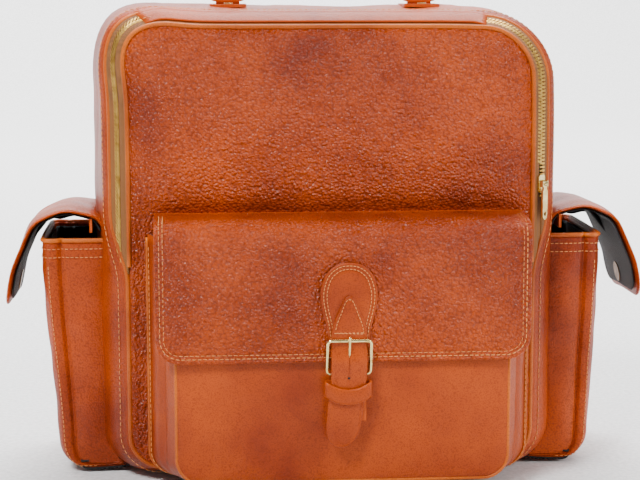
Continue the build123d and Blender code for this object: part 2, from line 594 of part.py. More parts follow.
LOW_BAR = Vector(0, -SPAN + LINK)
HIGH_BAR = Vector(0, -LINK)
UPHILL = Vector(sin(radians(STRAP_LEAN)), cos(radians(STRAP_LEAN)))
OUTWARD = Vector(UPHILL.Y, -UPHILL.X)
HEEL = LOW_BAR + UPHILL * HEEL_FROM_RING + OUTWARD * (LOOP_OUTER - 1.0 + STRAP_FACE_Y + 1.0)
PAD_BEND = HEEL + UPHILL * PAD_LENGTH_ABOVE_HEEL
PAD_TOP_RUN = (PAD_BEND - HIGH_BAR).normalized()
BUCKLE_AT = Pos(0, HEEL.X, HEEL.Y) * Rot(-STRAP_LEAN, 0, 0) * Rot(180, 0, 0)


def shoulder_pad():
    """The pad, on a leather tongue that loops the upper ring and holds the buckle's heel bar and the keeper."""
    tongue_line = [HIGH_BAR + PAD_TOP_RUN * 2.6, PAD_BEND, HEEL + UPHILL * 9]
    tongue = across(strip(tongue_line, [120], -CHAPE_LOOP, CHAPE_LOOP), 24)
    pad_line = [HIGH_BAR + PAD_TOP_RUN * 15, PAD_BEND, HEEL + UPHILL * 34]
    half = SHOULDER_THICKNESS / 2
    pad = across(strip(pad_line, [120], -half, half), SHOULDER_WIDTH)
    pad = fillet(pad.edges().filter_by(Axis.X), half - 0.8)
    pad += tongue
    pad += pipe_x(LOOP_OUTER, 24, HIGH_BAR.X, HIGH_BAR.Y)
    pad -= pipe_x(LOOP_INNER, 60, HIGH_BAR.X, HIGH_BAR.Y)
    pad += BUCKLE_AT * buckle_chape(30, 30, STRAP_WIDTH - 2)
    return pad + BUCKLE_AT * keeper_loop(-17, -8, STRAP_WIDTH - 2)


def lower_strap():
    """The lower strap: looped round the lower ring, and up through the buckle to its tip."""
    flat = strap_end(HEEL_FROM_RING + 2.0, 31.0, STRAP_WIDTH - 2, [28.0, 40.0])
    strap = BUCKLE_AT * upright(flat, STRAP_FACE_Y, STRAP_BACK_Y)
    strap += pipe_x(LOOP_OUTER, STRAP_WIDTH - 2, LOW_BAR.X, LOW_BAR.Y)
    return strap - pipe_x(LOOP_INNER, 60, LOW_BAR.X, LOW_BAR.Y)


def shoulder_tab(length):
    """The tab that is riveted to the back above a ring, with the loop for the ring's outer bar, and its rivets."""
    back = 77.8 - SHOULDER_TOP.Y
    half = TAB_WIDTH / 2
    tab = region(x=(-half, half), y=(back, back + TAB_THICKNESS), z=(0, length))
    tab += pipe_x(TAB_LOOP + TAB_WALL, TAB_WIDTH, 0, 0)
    tab -= pipe_x(TAB_LOOP, 60, 0, 0)
    face = back + TAB_THICKNESS
    rivet = disc_y(RIVET_RADIUS, face, face + RIVET_HEIGHT, 0, length - 5)
    return tab, rivet


def shoulder_straps():
    """Each shoulder strap with its rings and buckle. Returns the tabs and rivets that hold one strap's rings."""
    ring = wire_ring(RING_SPAN, LINK + 2 * RING_WIRE, 3.0, RING_WIRE)
    high_ring = Pos(0, 0, -LINK / 2) * ring
    low_ring = Pos(0, 0, -SPAN + LINK / 2) * ring
    keep_pair("shoulder_rings", STRAP_FRAME * high_ring, STRAP_FRAME * low_ring)
    keep_pair("shoulder_pad", STRAP_FRAME * shoulder_pad())
    keep_pair("shoulder_lower_strap", STRAP_FRAME * lower_strap())
    keep_pair("shoulder_buckle", STRAP_FRAME * BUCKLE_AT * buckle_frame())
    keep_pair("shoulder_prong", STRAP_FRAME * BUCKLE_AT * buckle_prong())
    high_tab, high_rivet = shoulder_tab(26.0)
    low_tab, low_rivet = shoulder_tab(19.0)
    low = Pos(0, 0, -SPAN) * Rot(0, 180, 0)
    tabs = [STRAP_FRAME * high_tab, STRAP_FRAME * low * low_tab]
    rivets = [STRAP_FRAME * high_rivet, STRAP_FRAME * low * low_rivet]
    return tabs, rivets


def both_sides(shapes):
    """The shapes and their mirror images."""
    return [*shapes, *(mirrored(s) for s in shapes)]


body_shell()
back_of_body()
front_of_body()
linings()
zip_chain()
slider()
pull()
front_flap()
closure()
side_flaps()
front_lining, front_anchor, front_snap = front_pocket()
side_lining, side_anchor, side_snap = side_pockets()
keep("pocket_linings", front_lining, *both_sides([side_lining]))
keep("flap_anchors", front_anchor, *both_sides([side_anchor]))
keep("snap_bases", front_snap, *both_sides([side_snap]))
handle_tab, handle_rivets = handle()
strap_tabs, strap_rivets = shoulder_straps()
keep("handle_tabs", *both_sides([handle_tab]))
keep("shoulder_tabs", *both_sides(strap_tabs))
keep("rivets", *both_sides(handle_rivets + strap_rivets))
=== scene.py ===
"""Looks of the leather backpack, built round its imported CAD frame.

Lengths inside this script are millimetres, and mesh() turns them into metres. +X is to the right, -Y to the
front and +Z up. The body's outline is known at five depths, and everything sewn to the body is placed on it.
"""

import math

import bmesh
import bpy
import numpy as np
from mathutils import Matrix, Vector, noise


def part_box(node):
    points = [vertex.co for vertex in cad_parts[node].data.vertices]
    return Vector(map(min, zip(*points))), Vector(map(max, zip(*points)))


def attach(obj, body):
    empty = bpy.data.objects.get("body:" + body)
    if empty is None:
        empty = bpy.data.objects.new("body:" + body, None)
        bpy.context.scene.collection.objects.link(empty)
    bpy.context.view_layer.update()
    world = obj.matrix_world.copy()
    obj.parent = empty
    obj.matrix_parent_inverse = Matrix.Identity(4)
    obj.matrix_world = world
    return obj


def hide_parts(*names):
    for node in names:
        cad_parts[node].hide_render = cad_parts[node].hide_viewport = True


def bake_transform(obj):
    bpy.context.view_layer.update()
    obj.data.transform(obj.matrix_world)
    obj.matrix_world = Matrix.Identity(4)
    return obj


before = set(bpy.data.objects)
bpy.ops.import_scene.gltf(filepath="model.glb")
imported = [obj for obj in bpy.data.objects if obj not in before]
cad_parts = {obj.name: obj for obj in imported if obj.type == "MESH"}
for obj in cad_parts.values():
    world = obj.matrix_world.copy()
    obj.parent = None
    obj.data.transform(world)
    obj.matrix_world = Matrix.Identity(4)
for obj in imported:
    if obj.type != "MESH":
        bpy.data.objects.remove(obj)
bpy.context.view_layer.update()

MM = 0.001


def box_mm(node):
    """A CAD node's lowest and highest corners in millimetres."""
    low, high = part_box(node)
    return np.array(low) / MM, np.array(high) / MM


# ---- Driving dimensions

PANEL_LOW, PANEL_HIGH = box_mm("front_panel_lower")
DOOR_LOW, DOOR_HIGH = box_mm("front_panel_upper")
TAPE_LOW_Z = box_mm("zip_tape_body")[0][2]

PANEL_HALF = DOOR_HIGH[0] + 3.2  # the front panel's edge
PANEL_TOP, PANEL_BOTTOM = DOOR_HIGH[2] + 3.2, PANEL_LOW[2] + 7.0
PANEL_RADII = (36.0, 24.0)  # of the front panel's top and bottom corners
PANEL_THICK = 2.6
FRONT_Y = DOOR_HIGH[1]  # depth of the front panel's edge
GUSSET_HALF, GUSSET_TOP = PANEL_HALF + 13.0, PANEL_TOP + 7.0
GUSSET_Y = FRONT_Y + 14.0
BODY_HALF, BODY_TOP = 174.5, 351.0
BACK_Y = box_mm("back_binding")[0][1]
ZIP_END_Z = 158.0  # the zip disappears under the welt below this
LEATHER = 2.4
LINING_INSET = 5.6  # of the cloth bag inside the body
SHELL_STANDS_OUT = 1.2  # of the body's leather beyond its sections
SEAM_ROLL = 1.6  # how far the leather rises just behind the front seam

# y, half width, top, bottom, radius of the top corners, radius of the bottom corners
SECTIONS = np.array([
    (FRONT_Y, PANEL_HALF, PANEL_TOP, 12.0, *PANEL_RADII),
    (GUSSET_Y, GUSSET_HALF, GUSSET_TOP, 5.0, 46.0, 30.0),
    (-22.0, BODY_HALF - 1.0, BODY_TOP, 0.0, 54.0, 34.0),
    (45.0, BODY_HALF, BODY_TOP, 0.0, 54.0, 34.0),
    (BACK_Y, BODY_HALF - 8.0, BODY_TOP - 7.0, 4.0, 48.0, 30.0),
])

# ---- Meshes


def mesh(name, points, faces, material, smooth=True):
    """A mesh object from points in millimetres."""
    data = bpy.data.meshes.new(name)
    data.from_pydata((np.asarray(points, float) * MM).tolist(), [], faces)
    data.validate()
    data.update()
    data.materials.append(material)
    if smooth:
        data.polygons.foreach_set("use_smooth", [True] * len(data.polygons))
    thing = bpy.data.objects.new(name, data)
    bpy.context.scene.collection.objects.link(thing)
    return thing


def grid_faces(rows, columns, close_rows, close_columns, start=0):
    """Quads over a grid of points, which may close on itself either way."""
    faces = []
    for r in range(rows if close_rows else rows - 1):
        for c in range(columns if close_columns else columns - 1):
            a, b = start + r * columns, start + (r + 1) % rows * columns
            d = (c + 1) % columns
            faces.append((a + c, a + d, b + d, b + c))
    return faces


def cap_faces(start, count):
    """Faces that close a loop which mirrors itself both ways and starts in the middle of its base."""
    half, faces = count // 2, []
    for way in (1, -1):
        for i in range(half // 2):
            near = [way * i % count, way * (i + 1) % count, way * (half - i - 1) % count,
                    way * (half - i) % count]
            face = list(dict.fromkeys(start + k for k in near))
            if len(face) > 2:
                faces.append(tuple(face))
    return faces


def xyz(x, y, z):
    """Places from their coordinates, each an array or one number for all."""
    return np.stack(np.broadcast_arrays(x, y, z), axis=-1)


def upright(loop, y):
    """Front-view points as places at a depth, one number or one for each."""
    return xyz(loop[:, 0], y, loop[:, 1])


def turns(count):
    """Even angles round a circle."""
    return np.linspace(0, 2 * math.pi, count, endpoint=False)


def outward(thing):
    """Turns a closed mesh's faces outwards."""
    work = bmesh.new()
    work.from_mesh(thing.data)
    bmesh.ops.recalc_face_normals(work, faces=work.faces)
    work.to_mesh(thing.data)
    work.free()
    return thing


def crowned(name, outer, inner, material):
    """A closed panel from loops: those of its face and those of its back, each from the edge inwards."""
    rows = np.array(outer[::-1] + inner)
    count, around = rows.shape[:2]
    faces = grid_faces(count, around, False, True) + cap_faces(0, around) + cap_faces((count - 1) * around,
                                                            around)
    return outward(mesh(name, rows.reshape(-1, 3), faces, material))


def normals_of(grid, close_columns):
    """Unit normals of a grid of points, by differences."""
    if close_columns:
        along = np.roll(grid, -1, axis=1) - np.roll(grid, 1, axis=1)
    else:
        along = np.gradient(grid, axis=1)
    across = np.gradient(grid, axis=0)
    n = np.cross(along, across)
    return n / np.maximum(np.linalg.norm(n, axis=2, keepdims=True), 1e-9)


def sheet_solid(name, grid, thickness, material, close_columns=False, flip=False):
    """A closed solid with the grid as its outer face. When its columns close on themselves, its edges are
    rounded by an extra row at half depth.
    """
    n = normals_of(grid, close_columns) * (-1 if flip else 1)
    inner = grid - n * thickness
    rows, columns = grid.shape[:2]
    round_in = 0.3 * thickness
    if close_columns:
        first = (grid[0] + inner[0]) / 2 + unit(grid[0] - grid[1]) * round_in
        last = (grid[-1] + inner[-1]) / 2 + unit(grid[-1] - grid[-2]) * round_in
        loop = np.concatenate([grid, last[None], inner[::-1], first[None]])
        return outward(mesh(name, loop.reshape(-1, 3), grid_faces(len(loop), columns, True, True), material))
    points = np.concatenate([grid.reshape(-1, 3), inner.reshape(-1, 3)])
    size = rows * columns
    faces = grid_faces(rows, columns, False, False)
    faces += [tuple(i + size for i in reversed(f)) for f in grid_faces(rows, columns, False, False)]
    edge = list(range(columns))
    edge += [r * columns + columns - 1 for r in range(1, rows)]
    edge += [(rows - 1) * columns + c for c in range(columns - 2, -1, -1)]
    edge += [r * columns for r in range(rows - 2, 0, -1)]
    for a, b in zip(edge, edge[1:] + edge[:1]):
        faces.append((a, a + size, b + size, b))
    return outward(mesh(name, points, faces, material))


def unit(v):
    """Vectors of length 1."""
    return v / np.maximum(np.linalg.norm(v, axis=-1, keepdims=True), 1e-9)


def resample(path, step):
    """Points at an even step along a path."""
    lengths = np.concatenate([[0], np.cumsum(np.linalg.norm(np.diff(path, axis=0), axis=1))])
    count = max(2, int(round(lengths[-1] / step)))
    marks = np.linspace(0, lengths[-1], count + 1)
    return np.stack([np.interp(marks, lengths, path[:, k]) for k in range(3)], axis=1)


def tube(name, path, radius, material, closed=False, sides=10, up=(0.0, 0.0, 1.0)):
    """A round bead along a path."""
    path = np.asarray(path, float)
    if closed:
        run = np.roll(path, -1, axis=0) - np.roll(path, 1, axis=0)
    else:
        run = np.gradient(path, axis=0)
    run = unit(run)
    side = unit(np.cross(run, np.broadcast_to(np.asarray(up, float), run.shape)))
    rise = np.cross(side, run)
    turn = turns(sides)
    radius = np.broadcast_to(radius, len(path))[:, None, None]
    rings = path[:, None] + radius * (side[:, None] * np.cos(turn)[:, None]
                                      + rise[:, None] * np.sin(turn)[:, None])
    faces = grid_faces(len(path), sides, closed, True)
    if not closed:
        faces.append(tuple(range(sides)))
        faces.append(tuple((len(path) - 1) * sides + k for k in reversed(range(sides))))
    return outward(mesh(name, rings.reshape(-1, 3), faces, material))


STITCH = [(-0.5, 0.12, -0.5), (-0.42, 0.75, 0.1), (-0.2, 1.0, 0.55), (0.2, 1.0, 0.55), (0.42, 0.75, 0.1),
          (0.5, 0.12, -0.5)]


def stitch_points(path, normal, pitch, length, radius, closed=False):
    """Points and faces of a row of stitches: short threads that rise from the leather and go back in."""
    fine = np.concatenate([path, path[:1]]) if closed else path
    norm = np.concatenate([normal, normal[:1]]) if closed else normal
    along = np.concatenate([[0], np.cumsum(np.linalg.norm(np.diff(fine, axis=0), axis=1))])
    count = max(1, int(along[-1] / pitch))
    centres = (np.arange(count) + 0.5) * along[-1] / count
    at = lambda s, a: np.stack([np.interp(s, along, a[:, k]) for k in range(3)], axis=1)
    middle, n = at(centres, fine), unit(at(centres, norm))
    run = unit(at(centres + 0.4, fine) - at(centres - 0.4, fine))
    side = np.cross(n, run)
    sides = 6
    turn = turns(sides)
    points, faces = [], []
    for place, width, rise in STITCH:
        spot = middle + run * (place * length) + n * (rise * radius)
        for a in turn:
            points.append(spot + (side * math.cos(a) + n * math.sin(a)) * (radius * width))
    points = np.stack(points, axis=1)
    per = len(STITCH) * sides
    base = grid_faces(len(STITCH), sides, False, True)
    base.append(tuple(range(sides)))
    base.append(tuple(len(STITCH) * sides - sides + k for k in reversed(range(sides))))
    for k in range(count):
        faces += [tuple(i + k * per for i in f) for f in base]
    return points.reshape(-1, 3), faces


def stitches(name, rows, material, pitch=4.2, length=3.3, radius=0.42):
    """One object for several rows of stitches. A row is (path, normals, closed)."""
    points, faces, count = [], [], 0
    for path, normal, closed in rows:
        p, f = stitch_points(np.asarray(path, float), np.asarray(normal, float), pitch, length, radius,
                             closed)
        points.append(p)
        faces += [tuple(i + count for i in q) for q in f]
        count += len(p)
    return outward(mesh(name, np.concatenate(points), faces, material))


def lumps(points, size, amount, seed):
    """Smooth random heights at points, about -amount to amount."""
    flat = np.asarray(points, float).reshape(-1, 3)
    out = [noise.fractal(Vector(p / size) + Vector((seed, seed * 1.7, -seed)), 0.6, 2.1, 2) for p in flat]
    return (np.array(out) * amount).reshape(np.asarray(points).shape[:-1])


# ---- Outlines


SLUMP = [((-150.0, 338.0), (-7.0, 6.5), 32.0), ((152.0, 338.0), (-2.0, -2.0), 40.0)]  # place, push and reach


def slumped(points):
    """Front-view points pushed about near the top corners: the left one fuller, the right one slacker."""
    for place, push, reach in SLUMP:
        near = np.exp(-np.sum((points - np.array(place)) ** 2, axis=1) / reach**2)
        points = points + near[:, None] * np.array(push)
    return points


def straight(a, b, count, normal):
    """Points and normals of even steps from a towards b."""
    way = (b[0] - a[0], b[1] - a[1])
    return [((a[0] + way[0] * k / count, a[1] + way[1] * k / count), normal) for k in range(count)]


def quarter(x, z, radius, start, count):
    """Points and normals of even steps round a quarter circle, from an angle in degrees."""
    steps = [math.radians(start + 90 * k / count) for k in range(count)]
    return [((x + radius * math.cos(t), z + radius * math.sin(t)), (math.cos(t), math.sin(t))) for t in steps]


def joined(*stretches):
    """An outline's points and its normals."""
    pairs = [pair for stretch in stretches for pair in stretch]
    return np.array([p for p, _ in pairs]), np.array([n for _, n in pairs])


def rounded(half, top, bottom, top_radius, bottom_radius, flat=30, corner=14, side=48):
    """A rounded rectangle's points and normals, anticlockwise from the middle of its bottom."""
    low, high = bottom + bottom_radius, top - top_radius
    low_half, high_half = half - bottom_radius, half - top_radius
    points, normals = joined(
        straight((0, bottom), (low_half, bottom), flat, (0, -1)),
        quarter(low_half, low, bottom_radius, -90, corner),
        straight((half, low), (half, high), side, (1, 0)),
        quarter(high_half, high, top_radius, 0, corner),
        straight((high_half, top), (0, top), flat, (0, 1)),
        straight((0, top), (-high_half, top), flat, (0, 1)),
        quarter(-high_half, high, top_radius, 90, corner),
        straight((-half, high), (-half, low), side, (-1, 0)),
        quarter(-low_half, low, bottom_radius, 180, corner),
        straight((-low_half, bottom), (0, bottom), flat, (0, -1)),
    )
    return slumped(points), normals


def section_at(y):
    """The body's section at a depth, on a smooth curve through the known ones."""
    ys = SECTIONS[:, 0]
    k = int(np.clip(np.searchsorted(ys, y) - 1, 0, len(ys) - 2))
    slopes = np.gradient(SECTIONS[:, 1:], ys, axis=0)
    width = ys[k + 1] - ys[k]
    t = np.clip((y - ys[k]) / width, 0, 1)
    h00, h10, h01, h11 = 2 * t**3 - 3 * t**2 + 1, t**3 - 2 * t**2 + t, 3 * t**2 - 2 * t**3, t**3 - t**2
    a, b = SECTIONS[k, 1:], SECTIONS[k + 1, 1:]
    return h00 * a + h10 * width * slopes[k] + h01 * b + h11 * width * slopes[k + 1]


DEPTHS = np.linspace(FRONT_Y, BACK_Y, 152)
HALF_WIDTHS = np.array([section_at(y)[0] for y in DEPTHS])
LOOPS = [rounded(*section_at(y)) for y in DEPTHS]
LOOP_POINTS = np.array([p for p, _ in LOOPS])
LOOP_NORMALS = np.array([n for _, n in LOOPS])
AROUND = LOOP_POINTS.shape[1]
PANEL_Z = LOOP_POINTS[0, :, 1]  # height of each place round the loop, at the front panel's edge


def on_body(depth, out=0.0, places=None):
    """Points on the body's surface, one for each place round it, at a depth (one number, or one a place)."""
    places = np.arange(AROUND) if places is None else np.asarray(places)
    depth = np.broadcast_to(depth, places.shape)
    spot = np.clip((depth - FRONT_Y) / (BACK_Y - FRONT_Y) * (len(DEPTHS) - 1), 0, len(DEPTHS) - 1.001)
    k = spot.astype(int)
    t = (spot - k)[:, None]
    p = LOOP_POINTS[k, places] * (1 - t) + LOOP_POINTS[k + 1, places] * t
    n = LOOP_NORMALS[k, places]
    p = p + n * np.broadcast_to(out, places.shape)[:, None]
    return upright(p, depth)


def smooth_step(x, low, high):
    """0 below low, 1 above high, smooth between."""
    t = np.clip((np.asarray(x, float) - low) / (high - low), 0, 1)
    return t * t * (3 - 2 * t)


def seam_depth():
    """Depth of the front seam: at the zip's outer edge above, and at the front panel's edge below."""
    return FRONT_Y + 1.0 + (GUSSET_Y - FRONT_Y - 1.0) * smooth_step(PANEL_Z, 150, 205)


ZIP_PLACES = np.array([i for i in range(AROUND) if PANEL_Z[i] > ZIP_END_Z])

# ---- Materials


class Nodes:
    """A material's nodes, made by short calls."""

    def __init__(self, name):
        self.material = bpy.data.materials.new(name)
        self.material.use_nodes = True
        self.tree = self.material.node_tree
        self.shader = self.tree.nodes["Principled BSDF"]
        self.place = self.tree.nodes.new("ShaderNodeTexCoord").outputs["Object"]

    def link(self, source, target):
        self.tree.links.new(source, target)

    def new(self, kind, inputs=None, **settings):
        node = self.tree.nodes.new(kind)
        for key, value in settings.items():
            setattr(node, key, value)
        self.fill(node, inputs or {})
        return node

    def fill(self, node, inputs):
        """Links or sets a node's inputs."""
        for key, value in inputs.items():
            if isinstance(value, bpy.types.NodeSocket):
                self.link(value, node.inputs[key])
            else:
                node.inputs[key].default_value = value

    def shade(self, inputs):
        """Fills the shader and gives the material."""
        self.fill(self.shader, inputs)
        return self.material

    def noise(self, scale, detail=3.0, rough=0.55, vector=None):
        inputs = {"Scale": scale, "Detail": detail, "Roughness": rough, "Vector": vector or self.place}
        return self.new("ShaderNodeTexNoise", inputs).outputs["Fac"]

    def cells(self, scale, vector=None, feature="SMOOTH_F1"):
        inputs = {"Scale": scale, "Vector": vector or self.place}
        node = self.new("ShaderNodeTexVoronoi", inputs, feature=feature)
        if feature == "SMOOTH_F1":
            node.inputs["Smoothness"].default_value = 0.35
        return node.outputs["Distance"]

    def math(self, operation, a, b=0.0):
        return self.new("ShaderNodeMath", {0: a, 1: b}, operation=operation).outputs[0]

    def spread(self, value, low, high, to_low=0.0, to_high=1.0):
        inputs = {"Value": value, "From Min": low, "From Max": high, "To Min": to_low, "To Max": to_high}
        return self.new("ShaderNodeMapRange", inputs).outputs[0]

    def mix(self, share, a, b, blend="MIX"):
        node = self.new("ShaderNodeMix", data_type="RGBA", blend_type=blend)
        self.fill(node, {0: share, 6: a, 7: b})
        return node.outputs[2]

    def bump(self, height, distance, strength=1.0, after=None):
        inputs = {"Height": height, "Distance": distance, "Strength": strength}
        node = self.new("ShaderNodeBump", inputs)
        if after is not None:
            self.link(after, node.inputs["Normal"])
        return node.outputs["Normal"]

    def warped(self, scale, amount):
        """The object's coordinates, pushed about by noise, so that cells aren't straight."""
        push = self.new("ShaderNodeTexNoise",
                        {"Scale": scale, "Detail": 2.0, "Vector": self.place}).outputs["Color"]
        centred = self.new("ShaderNodeVectorMath", {0: push, 1: (0.5, 0.5, 0.5)},
                           operation="SUBTRACT").outputs[0]
        moved = self.new("ShaderNodeVectorMath", {0: centred, "Scale": amount}, operation="SCALE").outputs[0]
        return self.new("ShaderNodeVectorMath", {0: self.place, 1: moved}, operation="ADD").outputs[0]


def rgb(red, green, blue):
    """A display colour, 0 to 255, as scene-linear RGBA."""
    return tuple((c / 255 / 12.92) if c <= 10 else ((c / 255 + 0.055) / 1.055) ** 2.4
                 for c in (red, green, blue)) + (1.0,)


def scaled(colour, share):
    """A colour made darker or lighter."""
    return tuple(min(1.0, share * c) for c in colour[:3]) + (1.0,)


TAN_DARK, TAN, TAN_LIGHT = rgb(90, 20, 0), rgb(150, 46, 0), rgb(190, 74, 0)


def leather(name, pebble, depth, dark=TAN_DARK, middle=TAN, light=TAN_LIGHT, rough=0.42, edge_highlight=0.5):
    """Dyed leather. pebble is the size of its grain in metres, and depth how high the grain stands.
    edge_highlight is how much its sharp convex edges are painted lighter, as a painted highlight.
    """
    n = Nodes(name)
    where = n.warped(0.6 / pebble, pebble * 0.9)
    grain = n.cells(1 / pebble, where, "F1")
    broad = n.noise(0.30 / pebble, 2.0)
    pores = n.noise(2.6 / pebble, 2.0)
    creases = n.noise(70, 5.0, 0.62)
    hide = n.noise(8, 4.0, 0.6)
    patches = n.noise(26, 3.0)
    tone = n.mix(n.spread(hide, 0.36, 0.66), dark, light)
    tone = n.mix(0.3, tone, middle)
    tone = n.mix(n.spread(patches, 0.35, 0.75, 0.0, 0.4), tone, light)
    # Painted shade: the grain's valleys are darkened, as if shade fell between the pebbles.
    valley_shade = n.spread(grain, 0.40, 0.80, 0.0, 0.42)
    tone = n.mix(valley_shade, tone, scaled(dark, 0.5))
    # Painted highlight: sharp convex edges, where light catches, are painted lighter.
    edge = n.new("ShaderNodeNewGeometry").outputs["Pointiness"]
    tone = n.mix(n.spread(edge, 0.53, 0.62, 0.0, edge_highlight), tone, scaled(light, 1.2))
    height = n.math("ADD", n.math("MULTIPLY", grain, -1.0), n.math("MULTIPLY", broad, 0.5))
    height = n.math("ADD", height, n.math("MULTIPLY", pores, 0.12))
    normal = n.bump(creases, 0.0010, 0.35)
    gloss = n.math("ADD", hide, n.math("MULTIPLY", grain, 0.3))
    return n.shade({
        "Base Color": tone,
        "Normal": n.bump(height, depth, 0.9, normal),
        "Roughness": n.spread(gloss, 0.3, 0.95, rough - 0.07, rough + 0.10),
        "IOR": 1.42,
        "Specular IOR Level": 0.31,
    })


def brass(name, rough=0.2, clean=rgb(246, 226, 160), tarnished=rgb(206, 170, 92)):
    """Polished brass with fine scratches and slight tarnish."""
    n = Nodes(name)
    stretched = n.new("ShaderNodeMapping", {"Vector": n.place, "Scale": (1.0, 1.0, 7.0)}).outputs[0]
    scratches = n.noise(1500, 2.0, 0.5, stretched)
    tarnish = n.noise(160, 4.0, 0.6)
    return n.shade({
        "Base Color": n.mix(n.spread(tarnish, 0.4, 0.75), clean, tarnished),
        "Metallic": 1.0,
        "Roughness": n.spread(tarnish, 0.3, 0.8, rough - 0.06, rough + 0.14),
        "Normal": n.bump(scratches, 0.00003, 0.5),
    })


def cloth(name, dark, light, thread, rough=0.8, sheen=0.3):
    """A plain weave. thread is the spacing of its yarns in metres."""
    n = Nodes(name)
    split = n.new("ShaderNodeSeparateXYZ", {0: n.place})
    x, y, z = (n.math("MULTIPLY", split.outputs[k], 2 * math.pi / thread) for k in range(3))
    waves = [n.math("SINE", a) for a in (x, y, z)]
    weave = n.math("ADD", n.math("MULTIPLY", waves[0], waves[2]), n.math("MULTIPLY", waves[1], waves[2]))
    weave = n.math("ADD", weave, n.math("MULTIPLY", waves[0], waves[1]))
    fuzz = n.noise(420, 3.0)
    share = n.spread(n.math("ADD", weave, fuzz), -0.6, 1.8)
    return n.shade({
        "Base Color": n.mix(share, dark, light),
        "Normal": n.bump(n.math("ADD", weave, fuzz), 0.00025, 0.6),
        "Roughness": rough,
        "Sheen Weight": sheen,
        "Sheen Roughness": 0.5,
    })


def yarn(name, colour):
    """Waxed sewing thread, twisted."""
    n = Nodes(name)
    inputs = {"Vector": n.place, "Scale": 900.0, "Distortion": 2.0}
    twist = n.new("ShaderNodeTexWave", inputs, bands_direction="DIAGONAL").outputs["Fac"]
    return n.shade({
        "Base Color": n.mix(n.spread(twist, 0, 1, 0.0, 0.5), colour, scaled(colour, 0.6)),
        "Normal": n.bump(twist, 0.0001, 0.6),
        "Roughness": 0.55,
    })


def plain(name, colour, rough, grain):
    """A moulded or foamed surface with a fine grain."""
    n = Nodes(name)
    speckle = n.noise(1 / grain, 3.0)
    return n.shade({
        "Base Color": n.mix(n.spread(speckle, 0.3, 0.7), scaled(colour, 0.8), colour),
        "Normal": n.bump(speckle, grain * 0.2, 0.6),
        "Roughness": rough,
    })


PEBBLED = leather("pebbled leather", 0.0021, 0.0016, rough=0.28)
FINE = leather("fine grained leather", 0.0013, 0.0003, rough=0.40)
SMOOTH = leather("smooth leather", 0.0009, 0.00016, dark=rgb(112, 30, 0), middle=rgb(152, 50, 0),
                 light=rgb(188, 76, 0),
                 rough=0.34, edge_highlight=0.7)
# The piping's leather: its sharp edges get the strongest painted highlight.
EDGE = leather("rolled edge leather", 0.0008, 0.00014, dark=rgb(108, 30, 0), middle=rgb(152, 52, 0),
               light=rgb(212, 106, 18),
               rough=0.34, edge_highlight=0.9)
BRASS = brass("brass")
ZIP_BRASS = brass("zip brass", 0.36, rgb(224, 180, 92), rgb(166, 118, 42))
# Brass painted dark for the side snap caps: painted shade, where they sit under the side flaps.
SNAP_SHADE_BRASS = brass("snap brass painted dark", 0.45, rgb(112, 76, 34), rgb(62, 40, 18))
LINING = cloth("dark lining", rgb(8, 8, 11), rgb(21, 20, 25), 0.0011, sheen=0.04)
TAPE = cloth("zip tape", rgb(92, 50, 4), rgb(156, 92, 14), 0.0013, rough=0.75, sheen=0.05)
THREAD = yarn("thread", rgb(228, 146, 78))
BOARD = plain("base board", rgb(34, 30, 28), 0.7, 0.0012)
FOAM = plain("foam", rgb(120, 116, 110), 0.95, 0.0018)


# ---- Body


def finish_piece(piece, body, replaces=()):
    """Says what a piece moves with and which CAD nodes it stands for."""
    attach(piece, body)
    if replaces:
        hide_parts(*replaces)
    return piece


def sewn(name, rows, body, pitch, length, radius):
    """Rows of stitches that move with a body."""
    finish_piece(stitches(name, rows, THREAD, pitch, length, radius), body)


def bend_piece(piece, replaces=()):
    """A piece of the front, with its place baked into its mesh, standing for the CAD nodes it replaces."""
    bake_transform(piece)
    if replaces:
        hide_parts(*replaces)
    return piece


def body_shell():
    """The leather wall round the body: gussets, top and bottom, which swells and creases a little."""
    start = seam_depth()
    rows = []
    shares = np.linspace(0, 1, 46)
    for share in shares:
        depth = start + (BACK_Y - 1.5 - start) * share
        rows.append(on_body(depth))
    grid = np.array(rows)
    n = unit(xyz(LOOP_NORMALS[40][:, 0], 0.0, LOOP_NORMALS[40][:, 1]))
    inside = np.sin(np.pi * np.clip(shares, 0, 1)) ** 0.7
    swell = lumps(grid * (1, 1, 0.6), 55.0, 1.8, 3.0) + lumps(grid * (1, 1, 0.35), 22.0, 0.6, 9.0) - 0.9
    roll = SEAM_ROLL * np.exp(-((shares * 150 - 7) / 7) ** 2)
    floor_clear = smooth_step(grid[:, :, 2], 2, 30)
    grid = grid + n[None] * ((swell * inside[:, None] + roll[:, None] + SHELL_STANDS_OUT) * floor_clear)[:,
                                                            :, None]
    shell = sheet_solid("body_shell", grid, LEATHER, FINE, close_columns=True, flip=True)
    finish_piece(shell, "bag",
                 ["side_gusset_left", "side_gusset_right", "top_panel", "bottom_panel"])


def main_lining():
    """The cloth bag inside the body, closed at the back."""
    rows = [on_body(depth, -LINING_INSET) for depth in np.linspace(GUSSET_Y + 5, BACK_Y - 5, 24)]
    last, middle = rows[-1], np.array([0.0, BACK_Y - 5.0, 175.0])
    rows += [middle + (last - middle) * share for share in (0.97, 0.85, 0.6, 0.35, 0.12, 0.02)]
    finish_piece(sheet_solid("main_lining_cloth", np.array(rows), 0.8, LINING, close_columns=True), "bag",
                 ["main_lining"])


def seams():
    """Rolled seams: round the front of the body, where the gusset joins, and round the back."""
    depth = seam_depth()
    front = tube("front_welt_bead", on_body(depth, 0.4), 1.9, EDGE, closed=True, sides=12, up=(0, 1, 0))
    finish_piece(front, "bag", ["front_welt"])
    back = tube("back_welt_bead", on_body(BACK_Y - 0.2, 0.3), 2.3, EDGE, closed=True, sides=12, up=(0, 1, 0))
    finish_piece(back, "bag", ["back_binding"])
    line = on_body(depth + 5.0, 2.9)
    normal = xyz(LOOP_NORMALS[10][:, 0], -0.2, LOOP_NORMALS[10][:, 1])
    sewn("gusset_stitches", [(line, normal, True)], "bag", 4.4, 3.2, 0.34)


